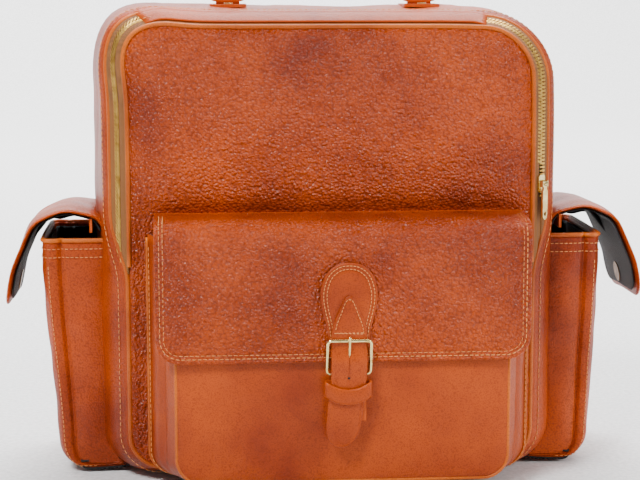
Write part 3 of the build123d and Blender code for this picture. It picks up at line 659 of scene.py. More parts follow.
def front_panel():
    """The pebbled front, in one piece from the base to the top, crowned less below the door's hinge."""
    insets = [0, 0.5, 1.2, 2.2, 3.5, 5, 7, 10, 13, 17, 22, 27, 33, 39, 46, 53, 60, 68, 76, 84, 92, 100,
              108, 116, 124, 131, 137]
    rows = []
    for inset in insets:
        radii = [max(radius - inset, 6) for radius in PANEL_RADII]
        loop, _ = rounded(PANEL_HALF - inset, PANEL_TOP - inset, PANEL_BOTTOM + inset, *radii)
        crown = 2.4 * (1 - math.exp(-inset / 3.0)) + 4.5 * (1 - math.exp(-inset / 30.0))
        quilt = lumps(upright(loop, 0.0), 60.0, 1.1, 5.0) * min(1, inset / 12)
        lower = 1 - 0.75 * smooth_step(-loop[:, 1], -215, -200) * min(1, inset / 6)
        rows.append(upright(loop, FRONT_Y - 0.6 - crown * lower - quilt * lower))
    outer = np.array(rows)
    inner = outer.copy()
    inner[:, :, 1] = np.minimum(outer[:, :, 1] + PANEL_THICK, FRONT_Y + 1.0)
    panel = crowned("front_panel", list(outer), list(inner), PEBBLED)
    bend_piece(panel, ["front_panel_upper", "front_panel_lower"])

    bead_loop, bead_normal = rounded(PANEL_HALF, PANEL_TOP, PANEL_BOTTOM, *PANEL_RADII)
    keep = [i for i in range(AROUND) if bead_loop[i, 1] > 160]
    path = xyz(bead_loop[keep, 0] + bead_normal[keep, 0] * 0.2, FRONT_Y - 1.6, bead_loop[keep, 1])
    bend_piece(tube("front_piping_bead", path, 1.7, EDGE, sides=12, up=(0, 1, 0)),
               ["front_piping"])


# ---- Zip

TOOTH_PITCH = 2.7
DOOR_TEETH_START = 26.0  # how far above the tape's end the door's row of teeth starts


def zip_row(share, out=0.0):
    """A line along the zip, at a share of the way from the front panel to the gusset."""
    return on_body(FRONT_Y + (GUSSET_Y - FRONT_Y) * share, out, ZIP_PLACES)


def zip_tape(name, shares, bends, nodes):
    """One side's woven tape, slightly raised along its middle."""
    grid = np.array([zip_row(share, 0.45 * math.sin(math.pi * k / (len(shares) - 1)))
                     for k, share in enumerate(shares)])
    piece = sheet_solid(name, grid, 1.0, TAPE)
    if bends:
        return bend_piece(piece, nodes)
    return finish_piece(piece, "bag", nodes)


def zip_teeth(name, side, nodes):
    """One row of metal teeth. side is -1 for the row on the front panel and +1 for the row on the body."""
    middle = resample(zip_row(0.5), TOOTH_PITCH)
    edge = resample(zip_row(0.5 + 0.12 * side), TOOTH_PITCH)
    count = min(len(middle), len(edge))
    middle, edge = middle[:count], edge[:count]
    run = unit(np.gradient(middle, axis=0))
    across = unit(edge - middle)
    out = unit(np.cross(run, across))
    out = out * np.sign(np.sum(out * (middle - np.array([0, 0, 200.0])), axis=1))[:, None]
    points, faces = [], []
    shift = 0.0 if side < 0 else TOOTH_PITCH / 2
    # Each tooth: a clamp over the tape's cord, narrowing to a rounded head with a hollow in it.
    rings = [(5.0, 0.60, 1.1), (4.7, 0.80, 1.4), (1.8, 0.80, 1.5), (0.6, 0.60, 1.2), (-0.9, 0.74, 1.3),
             (-1.3, 0.48, 1.0)]
    corners = [(-1, -1), (1, -1), (1, 1), (-1, 1)]
    low = TAPE_LOW_Z if side > 0 else TAPE_LOW_Z + DOOR_TEETH_START
    for k in range(count):
        if middle[k, 2] < low and middle[k, 0] > 0:
            continue
        start = len(points)
        for reach, wide, tall in rings:
            spot = middle[k] + across[k] * reach + run[k] * shift
            for a, b in corners:
                points.append(spot + run[k] * (a * wide) + out[k] * (b * tall))
        faces += [tuple(start + i for i in f) for f in grid_faces(len(rings), 4, False, True)]
        faces.append((start, start + 1, start + 2, start + 3))
        last = start + 4 * (len(rings) - 1)
        faces.append((last + 3, last + 2, last + 1, last))
    piece = outward(mesh(name, points, faces, ZIP_BRASS, smooth=False))
    bevel = piece.modifiers.new("rounded", "BEVEL")
    bevel.width, bevel.segments = 0.0002, 2
    if side > 0:
        return finish_piece(piece, "bag", nodes)
    return bend_piece(piece, nodes)


COVER_X = (-134.0, 116.0)  # the strip that covers the zip over the top


def zip_cover():
    """A leather strip over the zip along the bag's top."""
    places = [i for i in range(AROUND) if PANEL_Z[i] > 300 and COVER_X[0] < LOOP_POINTS[0, i, 0] < COVER_X[1]]
    shares = np.linspace(0.10, 1.25, 18)
    rows = []
    for share in shares:
        rise = 1.9 + 1.3 * math.sin(math.pi
                                    * (share - 0.10) / 1.15) - 0.9 * math.exp(-((share - 0.86) / 0.05) ** 2)
        ends = np.minimum(np.arange(len(places)), np.arange(len(places))[::-1])
        rows.append(on_body(FRONT_Y + (GUSSET_Y - FRONT_Y) * share, rise * smooth_step(ends, -1, 3), places))
    cover = sheet_solid("zip_cover", np.array(rows), 1.5, SMOOTH)
    finish_piece(cover, "bag")
    line = on_body(FRONT_Y + (GUSSET_Y - FRONT_Y) * 0.30, 3.1, places)
    up = np.tile([0.0, -0.5, 0.85], (len(line), 1))
    sewn("zip_cover_stitches", [(line, up, False)], "bag", 3.6, 2.6, 0.28)


def zipper():
    """Both tapes and both rows of teeth."""
    zip_tape("zip_tape_of_door", [0.02, 0.08, 0.15, 0.22, 0.28, 0.34, 0.38], True, ["zip_tape_front"])
    zip_tape("zip_tape_of_body", [0.62, 0.66, 0.72, 0.78, 0.85, 0.92, 0.99], False, ["zip_tape_body"])
    zip_teeth("zip_teeth_of_door", -1, ["zip_teeth_front"])
    zip_teeth("zip_teeth_of_body", 1, ["zip_teeth_body"])
    rows = []
    for share in (0.12, 0.88):
        rows.append((zip_row(share, 0.75), unit(zip_row(share, 1.0) - zip_row(share, 0.0) + (0, -0.4, 0)),
                     False))
    slider_low = box_mm("zip_slider")[0][2]
    places = [i for i in ZIP_PLACES if LOOP_POINTS[0, i, 0] > 0 and PANEL_Z[i] < slider_low]
    ends = [on_body(FRONT_Y + (GUSSET_Y - FRONT_Y) * share, -0.5, places)
            for share in np.linspace(0.3, 0.7, 5)]
    finish_piece(sheet_solid("zip_end_tape", np.array(ends), 0.8, TAPE), "bag")
    bend_piece(stitches("zip_tape_stitches_front", rows[:1], THREAD, 3.4, 2.5, 0.28))
    finish_piece(stitches("zip_tape_stitches_body", rows[1:], THREAD, 3.4, 2.5, 0.28), "bag")


# ---- Panels with a padded, turned edge


TANGENT_STEP = 0.8  # either way along a profile, to find its direction


class Profile:
    """A curve in a plane that a flat panel is bent along: place(distance) gives points and outward normals.

    side is 1 where outward is to the right of the way along it, and -1 where it is to the left.
    """

    def __init__(self, points, radii, steps=10, side=1):
        self.side = side
        line = [np.array(points[0], float)]
        for corner, radius, before, after in zip(points[1:-1], radii, points, points[2:]):
            corner, before, after = (np.array(p, float) for p in (corner, before, after))
            into, away = (corner - before) / np.linalg.norm(corner - before), (after
                                                            - corner) / np.linalg.norm(after - corner)
            angle = math.acos(np.clip(into @ away, -1, 1))
            reach = radius * math.tan(angle / 2)
            a, b = corner - into * reach, corner + away * reach
            for t in np.linspace(0, 1, steps + 1):
                p = (1 - t) ** 2 * a + 2 * t * (1 - t) * corner + t * t * b
                line.append(p)
        line.append(np.array(points[-1], float))
        self.line = np.array(line)
        self.marks = np.concatenate([[0], np.cumsum(np.linalg.norm(np.diff(self.line, axis=0), axis=1))])
        self.length = self.marks[-1]

    def at(self, distance):
        """Points at a distance along the line, kept to its ends."""
        inside = np.clip(distance, 0, self.length)
        return np.stack([np.interp(inside, self.marks, self.line[:, k]) for k in (0, 1)], axis=-1)

    def place(self, distance):
        inside = np.clip(distance, 0, self.length)
        run = unit(self.at(inside + TANGENT_STEP) - self.at(inside - TANGENT_STEP))
        p = self.at(inside) + run * (np.asarray(distance) - inside)[..., None]
        return p, self.side * np.stack([run[..., 1], -run[..., 0]], axis=-1)


def turned_height(inset, thick, pad, groove_at=None):
    """Height of a panel's face at a distance from its edge: a rounded rim, grooves and a padded middle."""
    rim = math.sqrt(max(0.0, 1 - (1 - min(inset / (0.6 * thick), 1)) ** 2))
    height = thick * (0.5 + 0.5 * rim) + pad * (1 - math.exp(-inset / 22.0))
    for place in groove_at or ():
        height -= 0.45 * math.exp(-((inset - place) / 1.1) ** 2)
    return height


ROOT_RADIUS = 1.5  # of a flap's corners where it is sewn on


def edge_loop(half, length, corner, inset):
    """A flap's outline, drawn in by inset. Its root is at the top, at height 0, and its tip at -length."""
    r_low, r_high = max(corner - inset, 1.2), max(ROOT_RADIUS - inset, 1.2)
    return rounded(half - inset, -inset, inset - length, r_high, r_low, 26, 10, 26)[0]


def back_height(inset, thick):
    """Height of a panel's back at a distance from its edge: it curls up to meet the rim."""
    return 0.5 * thick * (1 - min(1.0, inset / (0.6 * thick)))


def turned_panel(name, half, length, corner, place, thick, pad, material, grooves=(), wave=1.0, seed=1.0):
    """A closed leather panel with rounded edges, bent by place(across, along, height) from its root at 0."""
    reach = min(half, length / 2) - 1.5
    insets = [0, 0.25, 0.6, 1.1, 1.8, 2.6, 3.6, 4.4, 5.2, 6.2, 7.2, 8.2, 9.4, 11, 13, 16, 20, 25, 30, 36,
              43, 50, 58, 66, 75]
    insets = [i for i in insets if i < reach] + [reach]
    outer, inner = [], []
    for inset in insets:
        loop = edge_loop(half, length, corner, inset)
        along = -loop[:, 1]
        flat = xyz(loop[:, 0], 0.0, along)
        ripple = lumps(flat, 38.0, wave, seed) * min(1.0, inset / 10)
        outer.append(place(loop[:, 0], along, turned_height(inset, thick, pad, grooves) + ripple))
        inner.append(place(loop[:, 0], along, back_height(inset, thick) + ripple * 0.9))
    return crowned(name, outer, inner, material)


def edge_rows(half, length, corner, place, insets, height):
    """Stitch rows inside a panel's edge, as paths and normals, with the root's side left out."""
    rows = []
    for inset in insets:
        loop = edge_loop(half, length, corner, inset)
        loop = np.roll(loop, -np.argmax(loop[:, 1]), axis=0)
        loop = loop[-loop[:, 1] > inset + 1.5]
        path = resample(place(loop[:, 0], -loop[:, 1], height(inset)), 1.5)
        above = resample(place(loop[:, 0], -loop[:, 1], height(inset) + 1.0), 1.5)
        rows.append((path, unit(above[: len(path)] - path), False))
    return rows


# ---- Front pocket and its flap

FLAP_LOW, FLAP_HIGH = box_mm("flap_leather")
FLAP_HALF = (FLAP_HIGH[0] - FLAP_LOW[0]) / 2
FLAP_INSIDE = 2.2  # from the flap's outer face to its lining
FLAP_PROFILE = Profile([(-80.2, FLAP_HIGH[2] - FLAP_INSIDE),
                        (FLAP_LOW[1] + 1.6 + FLAP_INSIDE, FLAP_HIGH[2] - 2.8 - FLAP_INSIDE),
                        (FLAP_LOW[1] + FLAP_INSIDE, FLAP_LOW[2])], [12.0])
FLAP_THICK, FLAP_PAD = 2.4, 0.3
FLAP_GROOVES = (3.6, 6.2)  # the stitched lines, from the edge
POCKET_LOW, POCKET_HIGH = box_mm("front_pocket_gusset")
POCKET_FACE_LOW, POCKET_FACE_HIGH = box_mm("front_pocket_panel")


def flap_place(across, along, height):
    """A place on the front flap, which is padded beside the buckled patch."""
    across, along = np.asarray(across, float), np.asarray(along, float)
    room = smooth_step(np.abs(across), 22, 62) * smooth_step(FLAP_HALF - np.abs(across), 4, 36)
    puff = 1.7 * room * smooth_step(FLAP_PROFILE.length - along, 4, 34) * smooth_step(along, 8, 46)
    p, n = FLAP_PROFILE.place(along)
    p = p + n * (np.broadcast_to(height, across.shape) + puff * (np.asarray(height) > 0.6))[..., None]
    return xyz(across, p[..., 0], p[..., 1])


POCKET_X = (FLAP_LOW[0] + FLAP_HIGH[0]) / 2
CLOSURE_X = (box_mm("closure_patch")[0][0] + box_mm("closure_patch")[1][0]) / 2


def moved(piece, x):
    """Shifts a mesh sideways by x."""
    piece.data.transform(Matrix.Translation((x * MM, 0, 0)))
    return piece


def on_flap(piece, nodes=()):
    """A piece of the front flap, moved sideways to the pocket's middle, with its place baked into its mesh.
    """
    moved(piece, POCKET_X)
    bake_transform(piece)
    if nodes:
        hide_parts(*nodes)


def front_flap():
    """The padded flap with its two rows of stitches."""
    length = FLAP_PROFILE.length
    leather_piece = turned_panel("front_flap_leather", FLAP_HALF, length, 18.0, flap_place, FLAP_THICK,
                                 FLAP_PAD, PEBBLED,
                                 grooves=FLAP_GROOVES, wave=0.9, seed=2.0)
    on_flap(leather_piece, ["flap_leather"])
    height = lambda inset: turned_height(inset, FLAP_THICK, FLAP_PAD, FLAP_GROOVES) + 0.12
    rows = edge_rows(FLAP_HALF, length, 18.0, flap_place, FLAP_GROOVES, height)
    on_flap(stitches("front_flap_stitches", rows, THREAD, 3.9, 3.0, 0.4))


def u_rows(half, top, bottom, radius):
    """A U from the top left, round the bottom, to the top right: points and outward normals."""
    low, inside = bottom + radius, half - radius
    return joined(
        straight((-half, top), (-half, low), 30, (-1, 0)),
        quarter(-inside, low, radius, 180, 8),
        straight((-inside, bottom), (inside, bottom), 36, (0, -1)),
        quarter(inside, low, radius, 270, 8),
        straight((half, low), (half, top), 30, (1, 0)),
        [((half, top), (1, 0))],
    )


def pocket_piece(piece, nodes=()):
    """A piece of the front pocket, moved to the pocket's place."""
    finish_piece(moved(piece, POCKET_X), "bag", nodes)


def front_pocket():
    """The pocket's gusset with its pleat, its face, and the seam between them."""
    top, bottom = POCKET_HIGH[2], POCKET_LOW[2]
    back_half, face_half = (POCKET_HIGH[0] - POCKET_LOW[0]) / 2, (POCKET_FACE_HIGH[0]
                                                            - POCKET_FACE_LOW[0]) / 2 - 1.2
    back_y, face_y = POCKET_HIGH[1], POCKET_FACE_LOW[1]
    rows = []
    steps = np.linspace(0, 1, 22)
    for t in steps:
        half = back_half + (face_half - back_half) * t
        loop, normal = u_rows(half, top - 1.0 * t, bottom + 2.0 * t, 18.0)
        fold = -5.5 * math.exp(-((t - 0.48) / 0.10) ** 2) + 1.6 * math.sin(math.pi * t)
        side = np.abs(normal[:, 0])
        drop = smooth_step(loop[:, 1], bottom + 4, bottom + 40)
        loop = loop + normal * (fold * side * (0.35 + 0.65 * drop)
                                + 1.2 * math.sin(math.pi * t) * (1 - side))[:, None]
        rows.append(upright(loop, back_y + (face_y + 2.0 - back_y) * t))
    grid = np.array(rows)
    grid[:, :, 0] += lumps(grid, 30.0, 0.8, 4.0) * np.sin(np.pi * steps)[:, None] * np.sign(grid[:, :, 0])
    pocket_piece(sheet_solid("front_pocket_side", grid, 2.0, SMOOTH),
                 ["front_pocket_gusset"])

    insets = [0, 0.4, 1, 2, 3.4, 5, 7, 10, 14, 19, 25, 32, 40, 48, 56, 64, 72, 80, 86]
    outer, inner = [], []
    for inset in insets:
        loop, _ = rounded(face_half + 0.6 - inset, top - 1 - inset, bottom + 1.6 + inset,
                          max(2.0 - inset, 0.8), max(18.6 - inset, 0.8))
        flat = upright(loop, 0.0)
        swell = 1.4 * (1 - math.exp(-inset / 2.0)) + 1.9 * (1 - math.exp(-inset / 26.0)) * smooth_step(150
                                                            - loop[:, 1], 0, 70)
        ripple = lumps(flat, 46.0, 0.8, 8.0) * min(1, inset / 12)
        outer.append(upright(loop, face_y + 1.2 - swell - ripple))
        inner.append(upright(loop, face_y + 2.4))
    pocket_piece(crowned("front_pocket_face", outer, inner, SMOOTH),
                 ["front_pocket_panel"])

    cloth = sheet_solid("front_pocket_lining", grid - normals_of(grid, False) * 3.4, 0.8, LINING)
    pocket_piece(cloth, ["pocket_linings"])

    seam, normal = u_rows(face_half + 0.4, top - 2, bottom + 1.8, 18.2)
    path = upright(seam, face_y + 1.3)
    pocket_piece(tube("front_pocket_seam", path, 1.3, EDGE, up=(0, 1, 0)))
    line, normal = u_rows(back_half + 0.4, top - 2, bottom, 18.2)
    path = upright(line, back_y - 1.0)
    pocket_piece(tube("front_pocket_foot", path, 1.3, EDGE, up=(0, 1, 0)))

    rows = []
    loop, normal = u_rows(back_half - 1.6, top - 8, bottom + 0.2, 18.0)
    depth = np.full(len(loop), back_y - 5.0)
    spot = xyz(loop[:, 0] + normal[:, 0] * 0.8, depth, loop[:, 1] + normal[:, 1] * 0.6)
    rows.append((spot, unit(upright(normal, np.full(len(loop), -0.6))), False))
    pocket_piece(stitches("front_pocket_stitches", rows, THREAD, 4.2, 3.2, 0.36))


# ---- Flat leather pieces


def inset_loop(loop, inset):
    """A closed outline shrunk towards its middle by inset."""
    middle = (loop.max(axis=0) + loop.min(axis=0)) / 2
    half = (loop.max(axis=0) - loop.min(axis=0)) / 2
    return middle + (loop - middle) * np.maximum(1 - inset / half, 0.02)


def plate(name, loop, place, thick, material, pad=0.6, grooves=()):
    """A leather piece with rounded edges, cut to an outline and laid on a surface by place(x, z, height)."""
    reach = min(loop.max(axis=0) - loop.min(axis=0)) / 2
    insets = [0, 0.15, 0.4, 0.8, 1.3, 1.9, 2.5, 3.1, 3.8, 4.5, 5.3, 6.5, 8, 10, 12.5, 15, 18]
    insets = [i for i in insets if i < reach - 0.5] + [reach - 0.2]
    outer, inner = [], []
    for inset in insets:
        ring = inset_loop(loop, inset)
        outer.append(place(ring[:, 0], ring[:, 1], turned_height(inset, thick, pad, grooves)))
        inner.append(place(ring[:, 0], ring[:, 1], back_height(inset, thick)))
    rows = np.array(outer[::-1] + inner)
    around = rows.shape[1]
    faces = grid_faces(len(rows), around, False, True)
    faces.append(tuple(range(around)))
    faces.append(tuple((len(rows) - 1) * around + k for k in reversed(range(around))))
    return outward(mesh(name, rows.reshape(-1, 3), faces, material))


def plate_row(loop, place, inset, height):
    """A row of stitches inside a plate's outline."""
    ring = inset_loop(loop, inset)
    low, high = place(ring[:, 0], ring[:, 1], height), place(ring[:, 0], ring[:, 1], height + 1)
    return low, unit(high - low), True


# ---- Buckled closure

PATCH_LOW, PATCH_HIGH = box_mm("closure_patch")
STRAP_LOW, STRAP_HIGH = box_mm("closure_strap")
KEEPER_LOW, KEEPER_HIGH = box_mm("strap_keeper")
TAIL_LEAN = 0.11  # the strap's tail hangs a little to the left


def smooth_outline(points, count=160):
    """A closed, smooth outline through points, by a periodic Catmull-Rom curve."""
    points = np.asarray(points, float)
    n = len(points)
    out = []
    for t in np.linspace(0, n, count, endpoint=False):
        k, f = int(t), t - int(t)
        a, b, c, d = (points[(k + j) % n] for j in (-1, 0, 1, 2))
        out.append(0.5 * (2 * b + (c - a) * f + (2 * a - 5 * b + 4 * c - d) * f * f
                          + (3 * b - a - 3 * c + d) * f**3))
    return np.array(out)


def closure_piece(piece, nodes=()):
    """A piece of the closure, moved to the closure's place."""
    finish_piece(moved(piece, CLOSURE_X), "front_flap", nodes)


def closure():
    """Patch, strap and keeper over the front flap."""
    half, top, low = (PATCH_HIGH[0] - PATCH_LOW[0]) / 2, PATCH_HIGH[2], PATCH_LOW[2]
    face = PATCH_HIGH[1]
    right = [(0, top), (0.42 * half, top - 1.6), (0.78 * half, top - 7.5), (0.97 * half, top - 17),
             (half, top - 26),
             (0.92 * half, top - 36), (0.78 * half, top - 47), (0.70 * half, low + 3), (0.62 * half, low)]
    loop = smooth_outline(right + [(-x, z) for x, z in right[:0:-1]])
    on_patch = lambda x, z, h: xyz(x, face - np.broadcast_to(h, np.shape(x)), z)
    closure_piece(plate("closure_patch_leather", loop, on_patch, 2.9, SMOOTH, 0.3, (2.2, 4.6)),
                  ["closure_patch"])
    rows = [plate_row(loop, on_patch, inset, 2.95) for inset in (2.2, 4.6)]
    closure_piece(stitches("closure_patch_stitches", rows, THREAD, 2.6, 2.0, 0.30))

    half, tip, apex = (STRAP_HIGH[0] - STRAP_LOW[0]) / 2, STRAP_LOW[2], STRAP_HIGH[2] - 3
    bar = KEEPER_HIGH[2] + 8
    right = [(0.2 * half, apex), (0.55 * half, apex - 9), (0.88 * half, apex - 19), (half, apex - 29),
             (half, bar + 12), (half, bar - 4),
             (half, bar - 20), (0.99 * half, tip + 26), (0.95 * half, tip + 14), (0.74 * half,
                                                            tip + 5.5), (0.36 * half, tip + 1)]
    loop = smooth_outline(right + [(0, tip)] + [(-x, z) for x, z in right[::-1]], 200)

    def on_strap(x, z, h):
        z = np.asarray(z, float)
        depth = STRAP_HIGH[1] + 0.1 - 0.5 * smooth_step(bar - z, 0, 20)
        lift = 1.8 * np.exp(-((z - bar - 10) / 6.5) ** 2)  # the strap bows out inside the buckle
        lean = TAIL_LEAN * np.minimum(z - bar, 0)
        return xyz(np.asarray(x) + lean, depth - lift - np.broadcast_to(h, np.shape(x)), z)

    closure_piece(plate("closure_strap_leather", loop, on_strap, 2.1, SMOOTH, 0.5, (2.4,)), ["closure_strap"])
    ring = inset_loop(loop, 2.4)
    upper = ring[ring[:, 1] > bar + 30]
    order = np.argsort(np.arctan2(upper[:, 1] - bar - 32, upper[:, 0]))
    upper = upper[order]
    low_line = np.stack([np.linspace(-half + 2.6, half - 2.6, 24), np.full(24, bar + 31.0)], axis=1)
    rows = []
    for line in (upper, low_line):
        a, b = on_strap(line[:, 0], line[:, 1], 2.15), on_strap(line[:, 0], line[:, 1], 3.15)
        rows.append((a, unit(b - a), False))
    closure_piece(stitches("closure_strap_stitches", rows, THREAD, 2.6, 2.0, 0.30))

    # A dark disc stands for the strap's spare hole: its darkness is painted shade.
    hole = np.array([(1.5 * math.cos(t), 1.5 * math.sin(t)) for t in turns(24)])
    spare = hole + (0, bar - 2)
    closure_piece(plate("closure_strap_hole_shade", spare, on_strap, 2.72, LINING, 0.0))

    # The keeper: a band round the strap that bows towards the tip in the middle.
    half_k, low_k, high_k = (KEEPER_HIGH[0] - KEEPER_LOW[0]) / 2, KEEPER_LOW[2] + 1.5, KEEPER_HIGH[2] + 3.0
    front, back = KEEPER_LOW[1] + 0.3, KEEPER_HIGH[1] - 0.3
    band = []
    for t in turns(64):
        c, d = math.cos(t), math.sin(t)
        x = half_k * math.copysign(abs(c) ** 0.45, c)
        y = (front + back) / 2 - (back - front) / 2 * math.copysign(abs(d) ** 0.55, d)
        bow = 5.5 * (1 - (x / half_k) ** 2) if d > 0 else 0.0
        band.append((x - 0.7, y, bow))
    rows = []
    for share in np.linspace(0, 1, 7):
        swell = 0.5 * math.sin(math.pi * share)
        rows.append([(x * (1 + 0.02 * swell), y - swell * (y < (front + back) / 2),
                      low_k + (high_k - low_k) * share - bow) for x, y, bow in band])
    keeper = sheet_solid("closure_keeper", np.array(rows), 1.6, SMOOTH, close_columns=True)
    closure_piece(keeper, ["strap_keeper"])


# ---- Side pockets and their flaps

SIDE_LOW, SIDE_HIGH = box_mm("side_pocket_gusset_right")
SIDE_OUT = box_mm("side_pocket_face_right")[1][0]
SIDE_TOP, SIDE_BOTTOM = SIDE_HIGH[2] - 4.0, SIDE_LOW[2]
# How far each pocket's outer side leans out, at the top and at the bottom.
SIDE_FLARE = {1: (-3.0, -9.0), -1: (3.5, -7.0)}
SIDE_FRONT, SIDE_BACK = SIDE_LOW[1], SIDE_HIGH[1]
ROLL = 13.0  # width of the rolled band at the pocket's outer edges
SIDE_CORNER = 17.0


def side_outline():
    """The pocket's outline from the front: down its outer side, round the corner and in along its base."""
    points = [(SIDE_OUT, SIDE_TOP + (SIDE_BOTTOM + SIDE_CORNER - SIDE_TOP) * t)
              for t in np.linspace(0, 1, 50, endpoint=False)]
    for t in np.linspace(0, math.pi / 2, 14, endpoint=False):
        points.append((SIDE_OUT - SIDE_CORNER + SIDE_CORNER * math.cos(t),
                       SIDE_BOTTOM + SIDE_CORNER - SIDE_CORNER * math.sin(t)))
    points += [(SIDE_OUT - SIDE_CORNER - 34 * t, SIDE_BOTTOM) for t in np.linspace(0, 1, 12)]
    return np.array(points)


def body_half(y, z):
    """The body's half width at a depth and height."""
    half, _, bottom, _, radius = section_at(y)
    up = np.clip(np.asarray(z, float) - bottom, 0, radius)
    return half - radius + np.sqrt(np.maximum(radius**2 - (radius - up) ** 2, 0))


def side_pocket(side):
    """One side pocket: a puffed front and back, an outer face, and a rolled band along both outer edges."""
    name = "right" if side > 0 else "left"
    outline = side_outline()
    heights = outline[:, 1]
    foot = body_half(SIDE_FRONT, np.maximum(heights, SIDE_BOTTOM + 3)) - 3
    inner = np.stack([np.minimum(foot, outline[:, 0] - 1.0), np.maximum(heights, SIDE_BOTTOM + 3)], axis=1)
    rows = []
    reach = np.linalg.norm(outline - inner, axis=1)
    middle = smooth_step(SIDE_TOP - heights, 0, 26) * smooth_step(heights, SIDE_BOTTOM, SIDE_BOTTOM + 30)

    def flat_side(depth, way, shares):
        for share in shares:
            line = inner + (outline - inner) * share
            away = reach * (1 - share)
            groove = 1.9 * np.exp(-((away - ROLL) / 1.3) ** 2)
            band = 1.5 * np.sin(np.pi * np.clip(away / ROLL, 0, 1))
            body = 3.2 * np.sin(np.pi * np.clip((away - ROLL) / np.maximum(reach - ROLL, 1), 0, 1)) * (0.25
                                                            + 0.75 * middle)
            ripple = lumps(upright(line, depth), 34.0, 1.3, 11.0 + side) * middle
            corner = 4.0 * max(0.0, share - 0.9) ** 2 / 0.01  # turns in to the outer corner
            out = band + body - groove + ripple * (away > 2) - corner
            rows.append(upright(line, depth + way * out))

    flat_side(SIDE_FRONT, -1, np.linspace(0, 1, 34))
    for share in np.linspace(0.02, 0.98, 22):
        y = SIDE_FRONT + 4 + (SIDE_BACK - SIDE_FRONT - 8) * share
        edge = min(share, 1 - share) * (SIDE_BACK - SIDE_FRONT)
        puff = 1.0 + 2.2 * math.sin(math.pi * share) - 1.0 * math.exp(-((edge - 9) / 1.6) ** 2)
        away = unit(np.gradient(outline, axis=0))
        normal = np.stack([-away[:, 1], away[:, 0]], axis=1)
        spot = upright(outline, y)
        out = puff * (0.2 + 0.8 * middle) + lumps(spot, 40.0, 1.0, 17.0 + side) * middle
        line = outline + normal * out[:, None]
        line[:, 1] = np.maximum(line[:, 1], SIDE_BOTTOM - 1)
        rows.append(upright(line, y))
    flat_side(SIDE_BACK, 1, np.linspace(1, 0, 34))
    grid = np.array(rows)
    high = smooth_step(grid[:, :, 2], SIDE_BOTTOM, SIDE_TOP)
    flare = SIDE_FLARE[side][1] + (SIDE_FLARE[side][0] - SIDE_FLARE[side][1]) * high
    grid[:, :, 0] += flare * smooth_step(grid[:, :, 0], BODY_HALF, SIDE_OUT)
    grid[:, :, 0] *= side
    body = sheet_solid("side_pocket_" + name, grid, 2.2, FINE, flip=side < 0)
    finish_piece(body, "bag", ["side_pocket_gusset_" + name, "side_pocket_face_" + name])

    inside = grid[:, 1:] - normals_of(grid, False)[:, 1:] * (3.4 if side > 0 else -3.4)
    lining = sheet_solid("side_pocket_lining_" + name, inside, 0.8, LINING, flip=side < 0)
    finish_piece(lining, "bag")

    top = grid[:, 0]
    hem = tube("side_pocket_hem_" + name, top + (0, 0, 0.2), 1.7, EDGE, sides=10)
    finish_piece(hem, "bag")
    n = normals_of(grid, False) * (1 if side > 0 else -1)
    stitch_rows = []
    for column in (2, 4):
        stitch_rows.append((grid[2:-2, column] + n[2:-2, column] * 0.3, n[2:-2, column], False))
    for row in (33, 56):
        stitch_rows.append((grid[row - 3 if row == 33 else row + 3, 6:70] + n[row, 6:70] * 0.3,
                            n[row, 6:70], False))
    sewn("side_pocket_stitches_" + name, stitch_rows, "bag", 3.6, 2.7, 0.32)


SIDE_AXIS_X, SIDE_AXIS_Z = 182.5, 197.0
SIDE_FLAP_LOW, SIDE_FLAP_HIGH = box_mm("side_flap_right")
EAR_DEPTH = 12.0  # how far the lip along the flap's rear edge hangs; its front face is dark cloth, painted shade under the flap
SIDE_FLAP_DROOP = 3.0  # how far the flap's rear edge hangs below its front edge
SIDE_PROFILE_POINTS = [(-11, -15), (-4.0, -2.0), (15.6, 4.2), (38.5, -6.2), (53.8, -41), (59.7, -70)]


